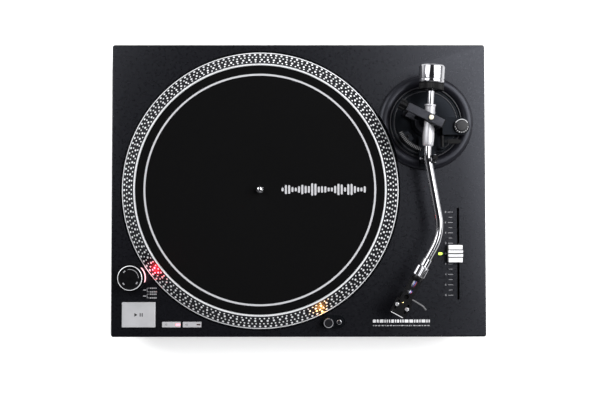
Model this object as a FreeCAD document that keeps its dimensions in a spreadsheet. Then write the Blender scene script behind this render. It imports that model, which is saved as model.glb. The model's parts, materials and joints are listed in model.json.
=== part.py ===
import FreeCAD, Part
import math
import os
import Sketcher
from FreeCAD import Placement, Rotation, Vector

# A direct-drive turntable record player.  Millimetres; +X right, +Y to the back, +Z up;
# the origin is the centre of the plinth's footprint, on the surface it stands on.

SIZES = {
    "plinth_wide": (450, "plinth, left to right"),
    "plinth_deep": (352, "plinth, front to back"),
    "plinth_top": (84, "height of the top plate above the table"),
    "foot_tall": (24, "height of a rubber foot"),
    "seam_level": (40, "height of the joint between bottom tray and top cover"),
    "wall": (3, "thickness of the plinth's walls and plates"),
    "corner_round": (3, "radius of the plinth's upright corners"),
    "edge_round": (1.4, "radius along the plinth's top edge"),
    "spindle_across": (-46, "spindle, left of the plinth's centre"),
    "spindle_radius": (3.6, "radius of the record spindle"),
    "shaft_radius": (4, "radius of the platter shaft below the deck"),
    "spindle_tip": (112, "height of the spindle's tip"),
    "platter_radius": (166, "outer radius of the platter"),
    "lip_radius": (150.6, "outer radius of the raised lip round the mat"),
    "mat_radius": (148, "radius of the felt mat"),
    "mat_thick": (2.5, "thickness of the felt mat"),
    "platter_deck": (98.8, "height of the platter's deck under the mat"),
    "platter_foot": (80, "height of the platter rim's lower edge"),
    "well_radius": (168.5, "radius of the well that the platter runs in"),
    "well_deep": (6, "depth of that well"),
    "pivot_across": (153, "arm pivot, right of the centre"),
    "pivot_back": (81.3, "arm pivot, behind the centre"),
    "arm_level": (124, "height of the arm's axis"),
    "arm_turn": (3.7, "clockwise turn of the arm's rear axis from the depth direction"),
    "bridge_turn": (26.1, "clockwise turn of the bearing bridge from the width direction"),
    "shell_turn": (28.7, "clockwise turn of the headshell's axis"),
    "shell_across": (138.9, "end of the locking collar, right of the centre"),
    "shell_back": (-102.4, "end of the locking collar, behind the centre"),
    "tube_radius": (4.5, "radius of the arm tube"),
    "housing_radius": (6.8, "radius of the arm's bearing housing"),
    "stub_radius": (4, "radius of the rear stub"),
    "weight_radius": (15.2, "radius of the counterweight"),
    "collar_radius": (57, "outer radius of the arm base collar"),
    "collar_bore": (41.8, "inner radius of the arm base collar"),
    "fader_across": (191.7, "pitch slot, right of the centre"),
    "fader_back": (-76.3, "middle of the pitch slot, behind the centre"),
    "fader_travel": (50, "travel of the pitch fader each way"),
    "start_across": (-191.4, "start button centre, across"),
    "start_back": (-149.2, "start button centre, behind"),
    "start_wide": (40, "start button, left to right"),
    "start_deep": (30, "start button, front to back"),
    "speed_across": (-152.3, "first speed button centre, across"),
    "speed_step": (24.7, "from one speed button to the next"),
    "speed_back": (-161, "speed buttons' centre, behind"),
    "speed_wide": (22.1, "speed button, left to right"),
    "speed_deep": (6.6, "speed button, front to back"),
    "strobe_across": (-199.5, "strobe housing's axis, across"),
    "strobe_back": (-104.8, "strobe housing's axis, behind"),
    "strobe_radius": (16.8, "radius of the strobe housing"),
    "knob_radius": (14.8, "radius of the power knob"),
    "lamp_across": (35.4, "target lamp's axis, across"),
    "lamp_back": (-158.3, "target lamp's axis, behind"),
    "lamp_radius": (5.65, "radius of the target lamp's tube"),
    "lamp_tip": (100, "height of the raised target lamp"),
    "bay_half": (70, "half the width of the rear jack bay"),
    "bay_low": (46, "height of the jack bay's floor"),
    "bay_tall": (26, "height of the jack bay"),
    "bay_deep": (16, "depth of the jack bay from the rear face"),
    "running": (0.05, "running clearance between a shaft and its bore"),
}

doc = FreeCAD.newDocument("turntable")
sheet = doc.addObject("Spreadsheet::Sheet", "Sizes")
for row, (alias, (number, meaning)) in enumerate(SIZES.items(), 1):
    sheet.set(f"A{row}", meaning)
    sheet.set(f"B{row}", str(number))
    sheet.setAlias(f"B{row}", alias)
doc.recompute()


class Dim:
    """A size with the sheet formula that keeps it: sums and products of sizes are sizes too."""

    def __init__(self, number, text):
        self.number = float(number)
        self.text = text

    def __float__(self):
        return self.number

    def __neg__(self):
        return Dim(-self.number, f"(-{self.text})")

    def __add__(self, other):
        other = dim(other)
        return Dim(self.number + other.number, f"({self.text} + {other.text})")

    def __sub__(self, other):
        other = dim(other)
        return Dim(self.number - other.number, f"({self.text} - {other.text})")

    def __mul__(self, other):
        other = dim(other)
        return Dim(self.number * other.number, f"({self.text} * {other.text})")

    def __truediv__(self, other):
        other = dim(other)
        return Dim(self.number / other.number, f"({self.text} / {other.text})")

    def __radd__(self, other):
        return dim(other) + self

    def __rsub__(self, other):
        return dim(other) - self

    def __rmul__(self, other):
        return dim(other) * self


def dim(value):
    """A plain number, or a Dim, as a Dim."""
    return value if isinstance(value, Dim) else Dim(value, f"({float(value):.6g})")


def sine(angle):
    return Dim(math.sin(math.radians(float(angle))), f"sin({angle.text} * 1deg)")


def cosine(angle):
    return Dim(math.cos(math.radians(float(angle))), f"cos({angle.text} * 1deg)")


class Sheet:
    """Reads the sheet: size.wall is the cell with that alias."""

    def __getattr__(self, alias):
        return Dim(sheet.get(alias), f"Sizes.{alias}")


size = Sheet()


class Frame:
    """A frame with its origin at a point, turned clockwise about the upright through it."""

    def __init__(self, origin, clockwise=None):
        self.origin = origin
        self.clockwise = clockwise

    def point(self, x, y, z):
        """The point of the row frame at (x, y, z) of this one, each coordinate a size."""
        if self.clockwise is not None:
            along = cosine(self.clockwise)
            aside = sine(self.clockwise)
            x, y = along * x + aside * y, along * y - aside * x
        return [dim(start) + step for start, step in zip(self.origin, (x, y, z))]

    def vector(self, x, y, z=0):
        return Vector(*(float(part) for part in self.point(x, y, z)))

    def turned(self, lean):
        angle = 0 if self.clockwise is None else -float(self.clockwise)
        return Rotation(Vector(0, 0, 1), angle) * lean


WORLD = Frame((0, 0, 0))
ARM = Frame((size.pivot_across, size.pivot_back, size.arm_level), size.arm_turn)
BRIDGE = Frame((size.pivot_across, size.pivot_back, size.arm_level), size.bridge_turn)
SHELL = Frame((size.shell_across, size.shell_back, size.arm_level), size.shell_turn)
PLATTER = Frame((size.spindle_across, 0, 0))
PIVOT = Frame((size.pivot_across, size.pivot_back, 0))

UPRIGHT = Rotation()
TO_BACK = Rotation(Vector(1, 0, 0), -90)
TO_FRONT = Rotation(Vector(1, 0, 0), 90)
TO_RIGHT = Rotation(Vector(0, 1, 0), 90)

nodes = {}


def bind(item, name, value):
    item.setExpression(name, dim(value).text)


def place(item, at, frame=WORLD, lean=UPRIGHT):
    """Set an item's own Placement: its origin at a point of the frame, leaned, then turned with it."""
    item.Placement = Placement(Vector(), frame.turned(lean))
    for axis, value in zip("xyz", frame.point(*at)):
        bind(item, f"Placement.Base.{axis}", value)


def box(low, span, frame=WORLD):
    """A block from its low corner, with its three spans."""
    item = doc.addObject("Part::Box", "block")
    for name, value in zip(("Length", "Width", "Height"), span):
        bind(item, name, value)
    place(item, low, frame)
    return item


def block(middle, half_x, half_y, bottom, top, frame=WORLD):
    """A block centred on a point in plan, between two levels."""
    middle = [dim(value) for value in middle]
    low = (middle[0] - half_x, middle[1] - half_y, bottom)
    return box(low, (dim(half_x) * 2, dim(half_y) * 2, dim(top) - bottom), frame)


def rod(radius, at, length, frame=WORLD, lean=UPRIGHT, sweep=360):
    """A round bar that starts at a point and runs along its own Z; sweep makes it a sector."""
    item = doc.addObject("Part::Cylinder", "rod")
    bind(item, "Radius", radius)
    bind(item, "Height", length)
    item.Angle = sweep
    place(item, at, frame, lean)
    return item


def pipe_ring(outer, inner, at, length, frame=WORLD, lean=UPRIGHT, sweep=360):
    """A plain ring or sector of a ring."""
    longer = dim(length) + 2
    bore = rod(inner, at, longer, frame, lean, 360)
    body = rod(outer, at, length, frame, lean, sweep)
    place(bore, (at[0], at[1], dim(at[2]) - 1), frame, lean)
    return cut(body, bore)


def join(*items):
    item = doc.addObject("Part::MultiFuse", "joined")
    item.Shapes = list(items)
    item.Refine = True
    return item


def cut(base, *tools):
    item = doc.addObject("Part::Cut", "cut")
    item.Base = base
    item.Tool = tools[0] if len(tools) == 1 else join(*tools)
    return item


def common(first, second):
    item = doc.addObject("Part::Common", "common")
    item.Base = first
    item.Tool = second
    return item


def group(*items):
    """Separate solids that share one node."""
    item = doc.addObject("Part::Compound", "group")
    item.Links = list(items)
    return item


def round_edges(base, radius, chosen):
    """Round the edges that the test picks."""
    doc.recompute()
    item = doc.addObject("Part::Fillet", "rounded")
    item.Base = base
    edges = enumerate(base.Shape.Edges, 1)
    item.Edges = [(index, float(radius), float(radius)) for index, edge in edges if chosen(edge)]
    return item


def is_upright(edge):
    box_of = edge.BoundBox
    return box_of.ZLength > 1 and box_of.XLength + box_of.YLength < 0.01


def is_at_level(level):
    """A test that picks the edges lying at one height."""
    wanted = float(level)
    return lambda edge: abs(edge.BoundBox.ZMin - wanted) + abs(edge.BoundBox.ZMax - wanted) < 0.01


def outline(body, plane, corners):
    """A closed sketch of straight edges on one of the body's planes, every corner driven."""
    sketch = body.newObject("Sketcher::SketchObject", "Outline")
    support = next(item for item in body.Origin.OriginFeatures if item.Role == plane)
    sketch.AttachmentSupport = (support, [""])
    sketch.MapMode = "FlatFace"
    points = [Vector(float(x), float(y), 0) for x, y in corners]
    count = len(points)
    for index, here in enumerate(points):
        sketch.addGeometry(Part.LineSegment(here, points[(index + 1) % count]), False)
    for index in range(count):
        sketch.addConstraint(Sketcher.Constraint("Coincident", index, 2, (index + 1) % count, 1))
    for index, corner in enumerate(corners):
        for kind, axis, value in zip(("DistanceX", "DistanceY"), (-2, -1), corner):
            if float(value) == 0:
                sketch.addConstraint(Sketcher.Constraint("PointOnObject", index, 1, axis))
                continue
            number = sketch.addConstraint(Sketcher.Constraint(kind, -1, 1, index, 1, float(value)))
            if isinstance(value, Dim):
                sketch.setExpression(f"Constraints[{number}]", value.text)
    return sketch


def turning(corners, at=(0, 0, 0), frame=WORLD, lean=UPRIGHT):
    """A body turned about its own Z from corners given as (radius, height)."""
    body = doc.addObject("PartDesign::Body", "turned")
    sketch = outline(body, "XZ_Plane", corners)
    feature = body.newObject("PartDesign::Revolution", "Revolution")
    feature.Profile = sketch
    feature.ReferenceAxis = (sketch, ["V_Axis"])
    feature.Angle = 360
    place(body, at, frame, lean)
    return body


def ring(outer, inner, bottom, top, at=(0, 0, 0), frame=WORLD, lean=UPRIGHT):
    """A turned ring between two heights of its own axis."""
    corners = [(inner, bottom), (outer, bottom), (outer, top), (inner, top)]
    return turning(corners, at, frame, lean)


def knurled(body, radius, notch, count, bottom, top):
    """Cut a ring of round notches along a body's outer wall with a polar pattern."""
    doc.recompute()
    sketch = body.newObject("Sketcher::SketchObject", "Notch")
    support = next(item for item in body.Origin.OriginFeatures if item.Role == "XY_Plane")
    sketch.AttachmentSupport = (support, [""])
    sketch.MapMode = "FlatFace"
    sketch.AttachmentOffset = Placement(Vector(0, 0, float(bottom)), Rotation())
    sketch.addGeometry(Part.Circle(Vector(float(radius), 0, 0), Vector(0, 0, 1), notch), False)
    sketch.addConstraint(Sketcher.Constraint("PointOnObject", 0, 3, -1))
    place_across = sketch.addConstraint(Sketcher.Constraint("DistanceX", -1, 1, 0, 3, float(radius)))
    bind(sketch, f"Constraints[{place_across}]", radius)
    sketch.addConstraint(Sketcher.Constraint("Radius", 0, notch))
    pocket = body.newObject("PartDesign::Pocket", "NotchPocket")
    pocket.Profile = sketch
    pocket.Reversed = True
    bind(pocket, "Length", dim(top) - bottom)
    doc.recompute()
    pattern = body.newObject("PartDesign::PolarPattern", "Notches")
    pattern.Originals = [pocket]
    pattern.Axis = (sketch, ["N_Axis"])
    pattern.Angle = 360
    pattern.Occurrences = count
    body.Tip = pattern
    return body


def rounded_path(points, radii):
    """A wire of straight runs joined by tangent arcs of the given radii at the inner points."""
    edges = []
    start = points[0]
    for index, radius in enumerate(radii, 1):
        corner = points[index]
        back = (points[index - 1] - corner).normalize()
        onward = (points[index + 1] - corner).normalize()
        half_turn = (math.pi - back.getAngle(onward)) / 2
        reach = radius * math.tan(half_turn)
        enter = corner + back * reach
        leave = corner + onward * reach
        inward = (back + onward).normalize()
        middle = corner + inward * (radius / math.cos(half_turn) - radius)
        edges.append(Part.LineSegment(start, enter).toShape())
        edges.append(Part.Arc(enter, middle, leave).toShape())
        start = leave
    edges.append(Part.LineSegment(start, points[-1]).toShape())
    return Part.Wire(edges)


def swept(path, radius):
    """A round section carried along a path."""
    start = path.Edges[0].valueAt(path.Edges[0].FirstParameter)
    ahead = path.Edges[0].tangentAt(path.Edges[0].FirstParameter)
    section = Part.Wire([Part.Circle(start, ahead, radius).toShape()])
    return path.makePipeShell([section], True, False)


def feature(shape, label):
    item = doc.addObject("Part::Feature", label)
    item.Shape = shape
    item.Placement = Placement()
    return item


def keep(label, item):
    """Name a finished piece: its label is its node."""
    item.Label = label
    nodes[label] = item


# ---------------------------------------------------------------- plinth

HALF_WIDE = size.plinth_wide / 2
HALF_DEEP = size.plinth_deep / 2
COLUMN_INSET = 9
COLUMN_RADIUS = 5
SCREW_RADIUS = 1.5
SKIN_LEVEL = size.plinth_top - size.wall
WELL_FLOOR = size.plinth_top - size.well_deep
BUTTON_GAP = 0.3
STROBE_SPIGOT = 9.8
BASE_SPIGOT = 37.8
SLOT_WIDE = 2.7
MOTOR_HOLE = 45


def column_places():
    """Where the cover screws stand: four corners and two midway."""
    deep = HALF_DEEP - COLUMN_INSET
    for across in (COLUMN_INSET - HALF_WIDE, dim(80), HALF_WIDE - COLUMN_INSET):
        for back in (-deep, deep):
            yield across, back


def speed_places():
    for name, step in (("33", 0), ("45", 1)):
        yield name, size.speed_across + size.speed_step * step


def build_top_cover():
    outer = block((0, 0), HALF_WIDE, HALF_DEEP, size.seam_level, size.plinth_top)
    outer = round_edges(outer, size.corner_round, is_upright)
    outer = round_edges(outer, size.edge_round, is_at_level(size.plinth_top))
    cavity = block((0, 0), HALF_WIDE - size.wall, HALF_DEEP - size.wall,
                   size.seam_level - 1, SKIN_LEVEL)
    well_wall = rod(size.well_radius + size.wall, (0, 0, WELL_FLOOR - size.wall),
                    size.well_deep + size.wall - 1, PLATTER)
    columns = [rod(COLUMN_RADIUS, (across, back, size.seam_level), SKIN_LEVEL - size.seam_level + 1)
               for across, back in column_places()]
    shell = join(cut(outer, cavity), well_wall, *columns)
    openings = [
        rod(size.well_radius, (0, 0, WELL_FLOOR), size.well_deep + 1, PLATTER),
        rod(MOTOR_HOLE, (0, 0, WELL_FLOOR - size.wall - 1), size.wall + 2, PLATTER),
        block((size.start_across, size.start_back), size.start_wide / 2 + BUTTON_GAP,
              size.start_deep / 2 + BUTTON_GAP, SKIN_LEVEL - 1, size.plinth_top + 1),
        block((size.fader_across, size.fader_back), SLOT_WIDE / 2, size.fader_travel + 5.2,
              SKIN_LEVEL - 1, size.plinth_top + 1),
        rod(STROBE_SPIGOT + 0.1, (size.strobe_across, size.strobe_back, SKIN_LEVEL - 1), 6),
        block((41.2, -157.5), 12, 7, SKIN_LEVEL - 1, size.plinth_top + 1),
        rod(BASE_SPIGOT + 0.1, (0, 0, SKIN_LEVEL - 1), 6, PIVOT),
        block((0, HALF_DEEP - size.wall / 2), size.bay_half, size.wall,
              size.bay_low, size.bay_low + size.bay_tall),
    ]
    for name, across in speed_places():
        openings.append(block((across, size.speed_back), size.speed_wide / 2 + BUTTON_GAP,
                              size.speed_deep / 2 + BUTTON_GAP, SKIN_LEVEL - 1, size.plinth_top + 1))
    for across, back in column_places():
        openings.append(rod(SCREW_RADIUS, (across, back, size.seam_level - 1), 25))
    keep("top_cover", cut(shell, *openings))


def build_bottom_cover():
    inset = 1.5
    outer = block((0, 0), HALF_WIDE - inset, HALF_DEEP - inset, size.foot_tall, size.seam_level)
    outer = round_edges(outer, size.corner_round, is_upright)
    cavity = block((0, 0), HALF_WIDE - inset - size.wall, HALF_DEEP - inset - size.wall,
                   size.foot_tall + size.wall, size.seam_level + 1)
    posts = [rod(COLUMN_RADIUS, (across, back, size.foot_tall), size.seam_level - size.foot_tall)
             for across, back in column_places()]
    tray = join(cut(outer, cavity), *posts)
    holes = []
    for across, back in column_places():
        holes.append(rod(SCREW_RADIUS + 0.1, (across, back, size.foot_tall - 1), 30))
        holes.append(rod(3.4, (across, back, size.foot_tall - 1), 3.2))
    for index in range(8):
        holes.append(block((84 + 9 * index, 112), 1.5, 22, size.foot_tall - 1,
                           size.foot_tall + size.wall + 1))
    keep("bottom_cover", cut(tray, *holes))


def build_feet():
    """Four stepped rubber feet under the tray."""
    profile = [(0, 0), (21, 0), (24, 2), (24, 8), (20.5, 10), (20.5, 13), (27, 15.5),
               (27, size.foot_tall), (0, size.foot_tall)]
    places = [(across, back) for across in (-185, 185) for back in (-135, 135)]
    keep("rubber_feet", group(*(turning(profile, (across, back, 0)) for across, back in places)))


def build_cover_screws():
    profile = [(0, 0), (3.1, 0), (3.1, 2), (SCREW_RADIUS, 2), (SCREW_RADIUS, 36), (0, 36)]
    screws = [turning(profile, (across, back, size.foot_tall + 0.2))
              for across, back in column_places()]
    keep("cover_screws", group(*screws))


# ---------------------------------------------------------------- motor and platter

BUSH_RADIUS = 9
BUSH_FOOT = 50
DECK_THICK = 3.5
MAGNET_INNER = 44
MAGNET_OUTER = 56
HUB_RADIUS = 14


def build_motor():
    flange = WELL_FLOOR - size.wall
    profile = [(BUSH_RADIUS, 52), (14, 52), (14, flange - 4), (62, flange - 4), (62, flange),
               (43, flange), (43, WELL_FLOOR), (BUSH_RADIUS, WELL_FLOOR)]
    keep("motor_base", turning(profile, (0, 0, 0), PLATTER))
    board_top = WELL_FLOOR + 1.6
    coil_orbit = 29
    coils = []
    for index in range(9):
        angle = math.radians(40 * index)
        middle = (coil_orbit * math.cos(angle), coil_orbit * math.sin(angle), 0)
        coils.append(ring(8, 3, board_top, board_top + 8.4, middle, PLATTER))
    board = ring(42, BUSH_RADIUS + 1, WELL_FLOOR, board_top, (0, 0, 0), PLATTER)
    keep("stator", group(board, *coils))
    bore = size.shaft_radius + size.running
    bush = [(0, BUSH_FOOT), (BUSH_RADIUS, BUSH_FOOT), (BUSH_RADIUS, 80.5), (bore, 80.5),
            (bore, 52.5), (0, 52.5)]
    keep("bearing_bush", turning(bush, (0, 0, 0), PLATTER))


def build_platter():
    rim = size.platter_radius
    deck = size.platter_deck
    under = deck - DECK_THICK
    profile = [(size.shaft_radius, deck), (size.mat_radius + 0.6, deck),
               (size.mat_radius + 0.6, deck + 1.8), (size.lip_radius, deck + 1.8),
               (rim - 1, 87.2), (rim, 86.6), (rim, size.platter_foot),
               (rim - 5, size.platter_foot), (rim - 5, 85), (rim - 17, under), (24, under),
               (20, 91), (HUB_RADIUS, 86), (HUB_RADIUS, 82), (size.shaft_radius, 82)]
    keep("platter", turning(profile, (0, 0, 0), PLATTER))
    keep("rotor_magnet", ring(MAGNET_OUTER, MAGNET_INNER, under - 11, under, (0, 0, 0), PLATTER))
    mat_foot = deck + size.running
    mat_top = mat_foot + size.mat_thick
    shoulder = mat_top - 0.1
    tip = size.spindle_tip
    shaft = [(0, 52.6), (size.shaft_radius, 52.6), (size.shaft_radius, shoulder),
             (size.spindle_radius, shoulder), (size.spindle_radius, tip - 3),
             (2.9, tip - 1.2), (1.4, tip), (0, tip)]
    keep("spindle", turning(shaft, (0, 0, 0), PLATTER))
    keep("slipmat", ring(size.mat_radius, size.shaft_radius + 0.3, mat_foot, mat_top,
                         (0, 0, 0), PLATTER))


# ---------------------------------------------------------------- electronics

BOARD_THICK = 1.6


def build_main_board():
    floor = size.foot_tall + size.wall
    board_level = floor + 6
    top = board_level + BOARD_THICK
    board = block((-60, 85), 75, 42, board_level, top)
    standoffs = [rod(3, (-60 + across, 85 + back, floor), 6)
                 for across in (-70, 70) for back in (-37, 37)]
    chips = [block((-100 + 34 * index, 80), 8, 8, top, top + 2.5) for index in range(3)]
    cans = [rod(6, (-120 + 16 * index, 112, top), 18) for index in range(4)]
    heat_sink = block((-20, 112), 18, 4, top, top + 22)
    keep("main_board", group(board, *standoffs, *chips, *cans, heat_sink))


def build_transformer():
    floor = size.foot_tall + size.wall
    window = block((150, 112), 14, 24, floor + 14, floor + 32)
    core = cut(block((150, 112), 28, 20, floor, floor + 46), window)
    winding = block((150, 112), 13.8, 23.8, floor + 14.2, floor + 31.8)
    keep("transformer", group(core, winding))


def build_control_board():
    """The board under the start and speed buttons, with a push switch below each."""
    level = 66
    board = block((-163, -150), 47, 15, level, level + BOARD_THICK)
    centres = [(size.start_across, size.start_back)]
    centres += [(across, size.speed_back) for name, across in speed_places()]
    switches = [block(centre, 3, 3, level + BOARD_THICK, 77.2) for centre in centres]
    keep("control_board", group(board, *switches))


# ---------------------------------------------------------------- rear jack bay

JACK_LEVEL = size.bay_low + size.bay_tall / 2
PANEL_FACE = HALF_DEEP - size.bay_deep
GROUND_ACROSS = -56
RCA_ACROSS = (-36, -18)
SWITCH_ACROSS = 0
USB_ACROSS = 24
MAINS_ACROSS = 52
RCA_RADIUS = 4.15
RCA_LONG = 9
RCA_NECK = 4.6
NECK_PROUD = 0.5


def build_jack_panel():
    """A tray let into the rear wall, with the sockets in its floor and the earth stud fixed to it."""
    sheet_thick = 1.5
    low = size.bay_low
    high = low + size.bay_tall
    rear = HALF_DEEP - size.wall
    deep = rear - PANEL_FACE
    shell = box((-size.bay_half - sheet_thick, PANEL_FACE - sheet_thick, low - sheet_thick),
                (size.bay_half * 2 + 2 * sheet_thick, deep + sheet_thick,
                 size.bay_tall + 2 * sheet_thick))
    flange = box((-size.bay_half - 6, rear - sheet_thick, low - 3),
                 (size.bay_half * 2 + 12, sheet_thick, size.bay_tall + 5.5))
    hollow = box((-size.bay_half, PANEL_FACE, low), (size.bay_half * 2, deep + 1, high - low))
    start = PANEL_FACE - sheet_thick - 1
    through = sheet_thick + 2
    holes = [rod(RCA_NECK, (across, start, JACK_LEVEL), through, WORLD, TO_BACK)
             for across in RCA_ACROSS]
    holes.append(box((SWITCH_ACROSS - 3.6, start, JACK_LEVEL - 1.8), (7.2, through, 3.6)))
    holes.append(box((USB_ACROSS - 6, start, JACK_LEVEL - 5.5), (12, through, 11)))
    holes.append(box((MAINS_ACROSS - 10, start, JACK_LEVEL - 6), (20, through, 12)))
    stud = rod(2, (GROUND_ACROSS, PANEL_FACE - sheet_thick, JACK_LEVEL), 10.1, WORLD, TO_BACK)
    keep("jack_panel", join(cut(join(shell, flange), hollow, *holes), stud))


def build_sockets():
    jacks = []
    behind = 9.5
    for across in RCA_ACROSS:
        barrel = rod(RCA_RADIUS, (across, PANEL_FACE, JACK_LEVEL), RCA_LONG, WORLD, TO_BACK)
        neck = rod(RCA_NECK, (across, PANEL_FACE - behind + 0.5, JACK_LEVEL),
                   behind - 0.5 + NECK_PROUD, WORLD, TO_BACK)
        back_block = box((across - 5, PANEL_FACE - behind, JACK_LEVEL - 5), (10, behind - 1.5, 10))
        bore = rod(1.6, (across, PANEL_FACE + 1, JACK_LEVEL), RCA_LONG, WORLD, TO_BACK)
        jacks.append(cut(join(barrel, neck, back_block), bore))
    keep("rca_jacks", group(*jacks))

    shell = box((USB_ACROSS - 6, PANEL_FACE - 11, JACK_LEVEL - 5.5), (12, 12, 11))
    mouth = box((USB_ACROSS - 4.25, PANEL_FACE - 8, JACK_LEVEL - 3.9), (8.5, 10, 7.8))
    tongue = box((USB_ACROSS - 2.8, PANEL_FACE - 9, JACK_LEVEL - 1.6), (5.6, 8.6, 3.2))
    keep("usb_socket", join(cut(shell, mouth), tongue))

    inlet = box((MAINS_ACROSS - 10, PANEL_FACE - 14, JACK_LEVEL - 6), (20, 15, 12))
    lobes = [rod(4.2, (MAINS_ACROSS + side * 2.7, PANEL_FACE - 9, JACK_LEVEL), 11, WORLD, TO_BACK)
             for side in (-1, 1)]
    middle = box((MAINS_ACROSS - 2.7, PANEL_FACE - 9, JACK_LEVEL - 4.2), (5.4, 11, 8.4))
    pins = [rod(1.15, (MAINS_ACROSS + side * 4.3, PANEL_FACE - 10, JACK_LEVEL), 8, WORLD, TO_BACK)
            for side in (-1, 1)]
    keep("mains_inlet", join(cut(inlet, *lobes, middle), *pins))


def build_rear_controls():
    lever = box((SWITCH_ACROSS - 3.2, PANEL_FACE - 2, JACK_LEVEL - 1.5), (3, 4.6, 3))
    slider = box((SWITCH_ACROSS - 6.5, PANEL_FACE - 4, JACK_LEVEL - 2.4), (9.6, 2, 4.8))
    keep("output_switch", join(lever, slider))
    nut = ring(4.6, 2 + size.running, 1.2, 7, (GROUND_ACROSS, PANEL_FACE, JACK_LEVEL),
               WORLD, TO_BACK)
    keep("ground_nut", knurled(nut, 4.95, 0.5, 24, 1.2, 7))


# ---------------------------------------------------------------- arm base

BASE_LEVEL = size.plinth_top + 2
POST_RADIUS = 8
POST_TOP = 110
BRIDGE_LEFT = -30
BRIDGE_RIGHT = 16
BRIDGE_HALF = 5
BAR_LOW = 12.2
BAR_HIGH = 16.2
GIMBAL_SHAFT = 3


def build_arm_base():
    plinth = size.plinth_top
    plate = [(POST_RADIUS + 4, plinth - 6), (BASE_SPIGOT, plinth - 6), (BASE_SPIGOT, plinth),
             (size.collar_bore - 0.4, plinth), (size.collar_bore - 0.4, plinth + 2),
             (POST_RADIUS + 4, plinth + 2)]
    keep("arm_base_plate", turning(plate, (0, 0, 0), PIVOT))

    outer = size.collar_radius
    inner = size.collar_bore
    crown = [(inner, plinth), (outer, plinth), (outer, plinth + 1.6), (outer - 1.2, plinth + 3.6),
             (outer - 4, plinth + 5.6), (outer - 7.6, plinth + 6.6), (inner + 3, plinth + 6.4),
             (inner + 1, plinth + 5.6), (inner, plinth + 4.4)]
    clear = rod(size.well_radius + 0.7, (0, 0, plinth - 1), 12, PLATTER)
    keep("arm_base_collar", cut(turning(crown, (0, 0, 0), PIVOT), clear))

    bore = GIMBAL_SHAFT + size.running
    post = [(bore, BASE_LEVEL), (17, BASE_LEVEL), (17, BASE_LEVEL + 4),
            (POST_RADIUS, BASE_LEVEL + 4), (POST_RADIUS, POST_TOP), (bore, POST_TOP)]
    keep("arm_post", turning(post, (0, 0, 0), PIVOT))


def build_bridge():
    """The fixed bridge over the arm, whose bar carries the upper pivot screw."""
    foot = BASE_LEVEL + 4 - size.arm_level
    span = BRIDGE_RIGHT - BRIDGE_LEFT
    bar = box((BRIDGE_LEFT, -BRIDGE_HALF, BAR_LOW), (span, 2 * BRIDGE_HALF, BAR_HIGH - BAR_LOW), BRIDGE)
    left_leg = box((BRIDGE_LEFT, -BRIDGE_HALF, foot), (4, 2 * BRIDGE_HALF, BAR_HIGH - foot), BRIDGE)
    right_leg = box((BRIDGE_RIGHT - 1.8, -BRIDGE_HALF, foot),
                    (1.8, 2 * BRIDGE_HALF, BAR_HIGH - foot), BRIDGE)
    foot_strap = box((BRIDGE_LEFT, -BRIDGE_HALF, foot), (span, 2 * BRIDGE_HALF, 3), BRIDGE)
    foot_disc = rod(13.5, (0, 0, foot), 3, BRIDGE)
    frame = join(bar, left_leg, right_leg, foot_strap, foot_disc)
    post_hole = rod(POST_RADIUS, (0, 0, foot - 1), 5, BRIDGE)
    screw_hole = rod(1.8, (0, 0, BAR_LOW - 1), 7, BRIDGE)
    frame = cut(frame, post_hole, screw_hole)
    keep("bearing_bridge", round_edges(frame, 0.9, is_at_level(size.arm_level + BAR_HIGH)))

    left_face = BRIDGE_LEFT - 9.5
    core = rod(5, (left_face, 0, 8), 9.5, BRIDGE, TO_RIGHT)
    lobes = []
    for index in range(5):
        angle = math.radians(72 * index + 90)
        centre = (left_face, 4.4 * math.cos(angle), 8 + 4.4 * math.sin(angle))
        lobes.append(rod(2.3, centre, 7, BRIDGE, TO_RIGHT))
    end_cap = box((BRIDGE_RIGHT, -5.2, 5), (1, 10.4, 11.3), BRIDGE)
    keep("bridge_caps", group(join(core, *lobes), end_cap))

    screw = [(0, 11.35), (0.7, 11.35), (1.8, 12.4), (1.8, BAR_HIGH), (3.5, BAR_HIGH),
             (3.5, BAR_HIGH + 1.2), (2.7, BAR_HIGH + 1.2), (2.7, BAR_HIGH + 3.4),
             (2.3, BAR_HIGH + 3.8), (0, BAR_HIGH + 3.8)]
    lowest = 11.35
    lifted = [(radius, height - lowest) for radius, height in screw]
    keep("pivot_screw", turning(lifted, (0, 0, lowest), BRIDGE))


REST_ACROSS = 151.4
REST_BACK = 34.8
CLIP_ACROSS = 158.6
CLIP_LEVEL = 129.2
CLIP_PIN = 1
LEVER_ACROSS = 170.5
LEVER_BACK = 57
LEVER_LEVEL = 104


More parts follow.
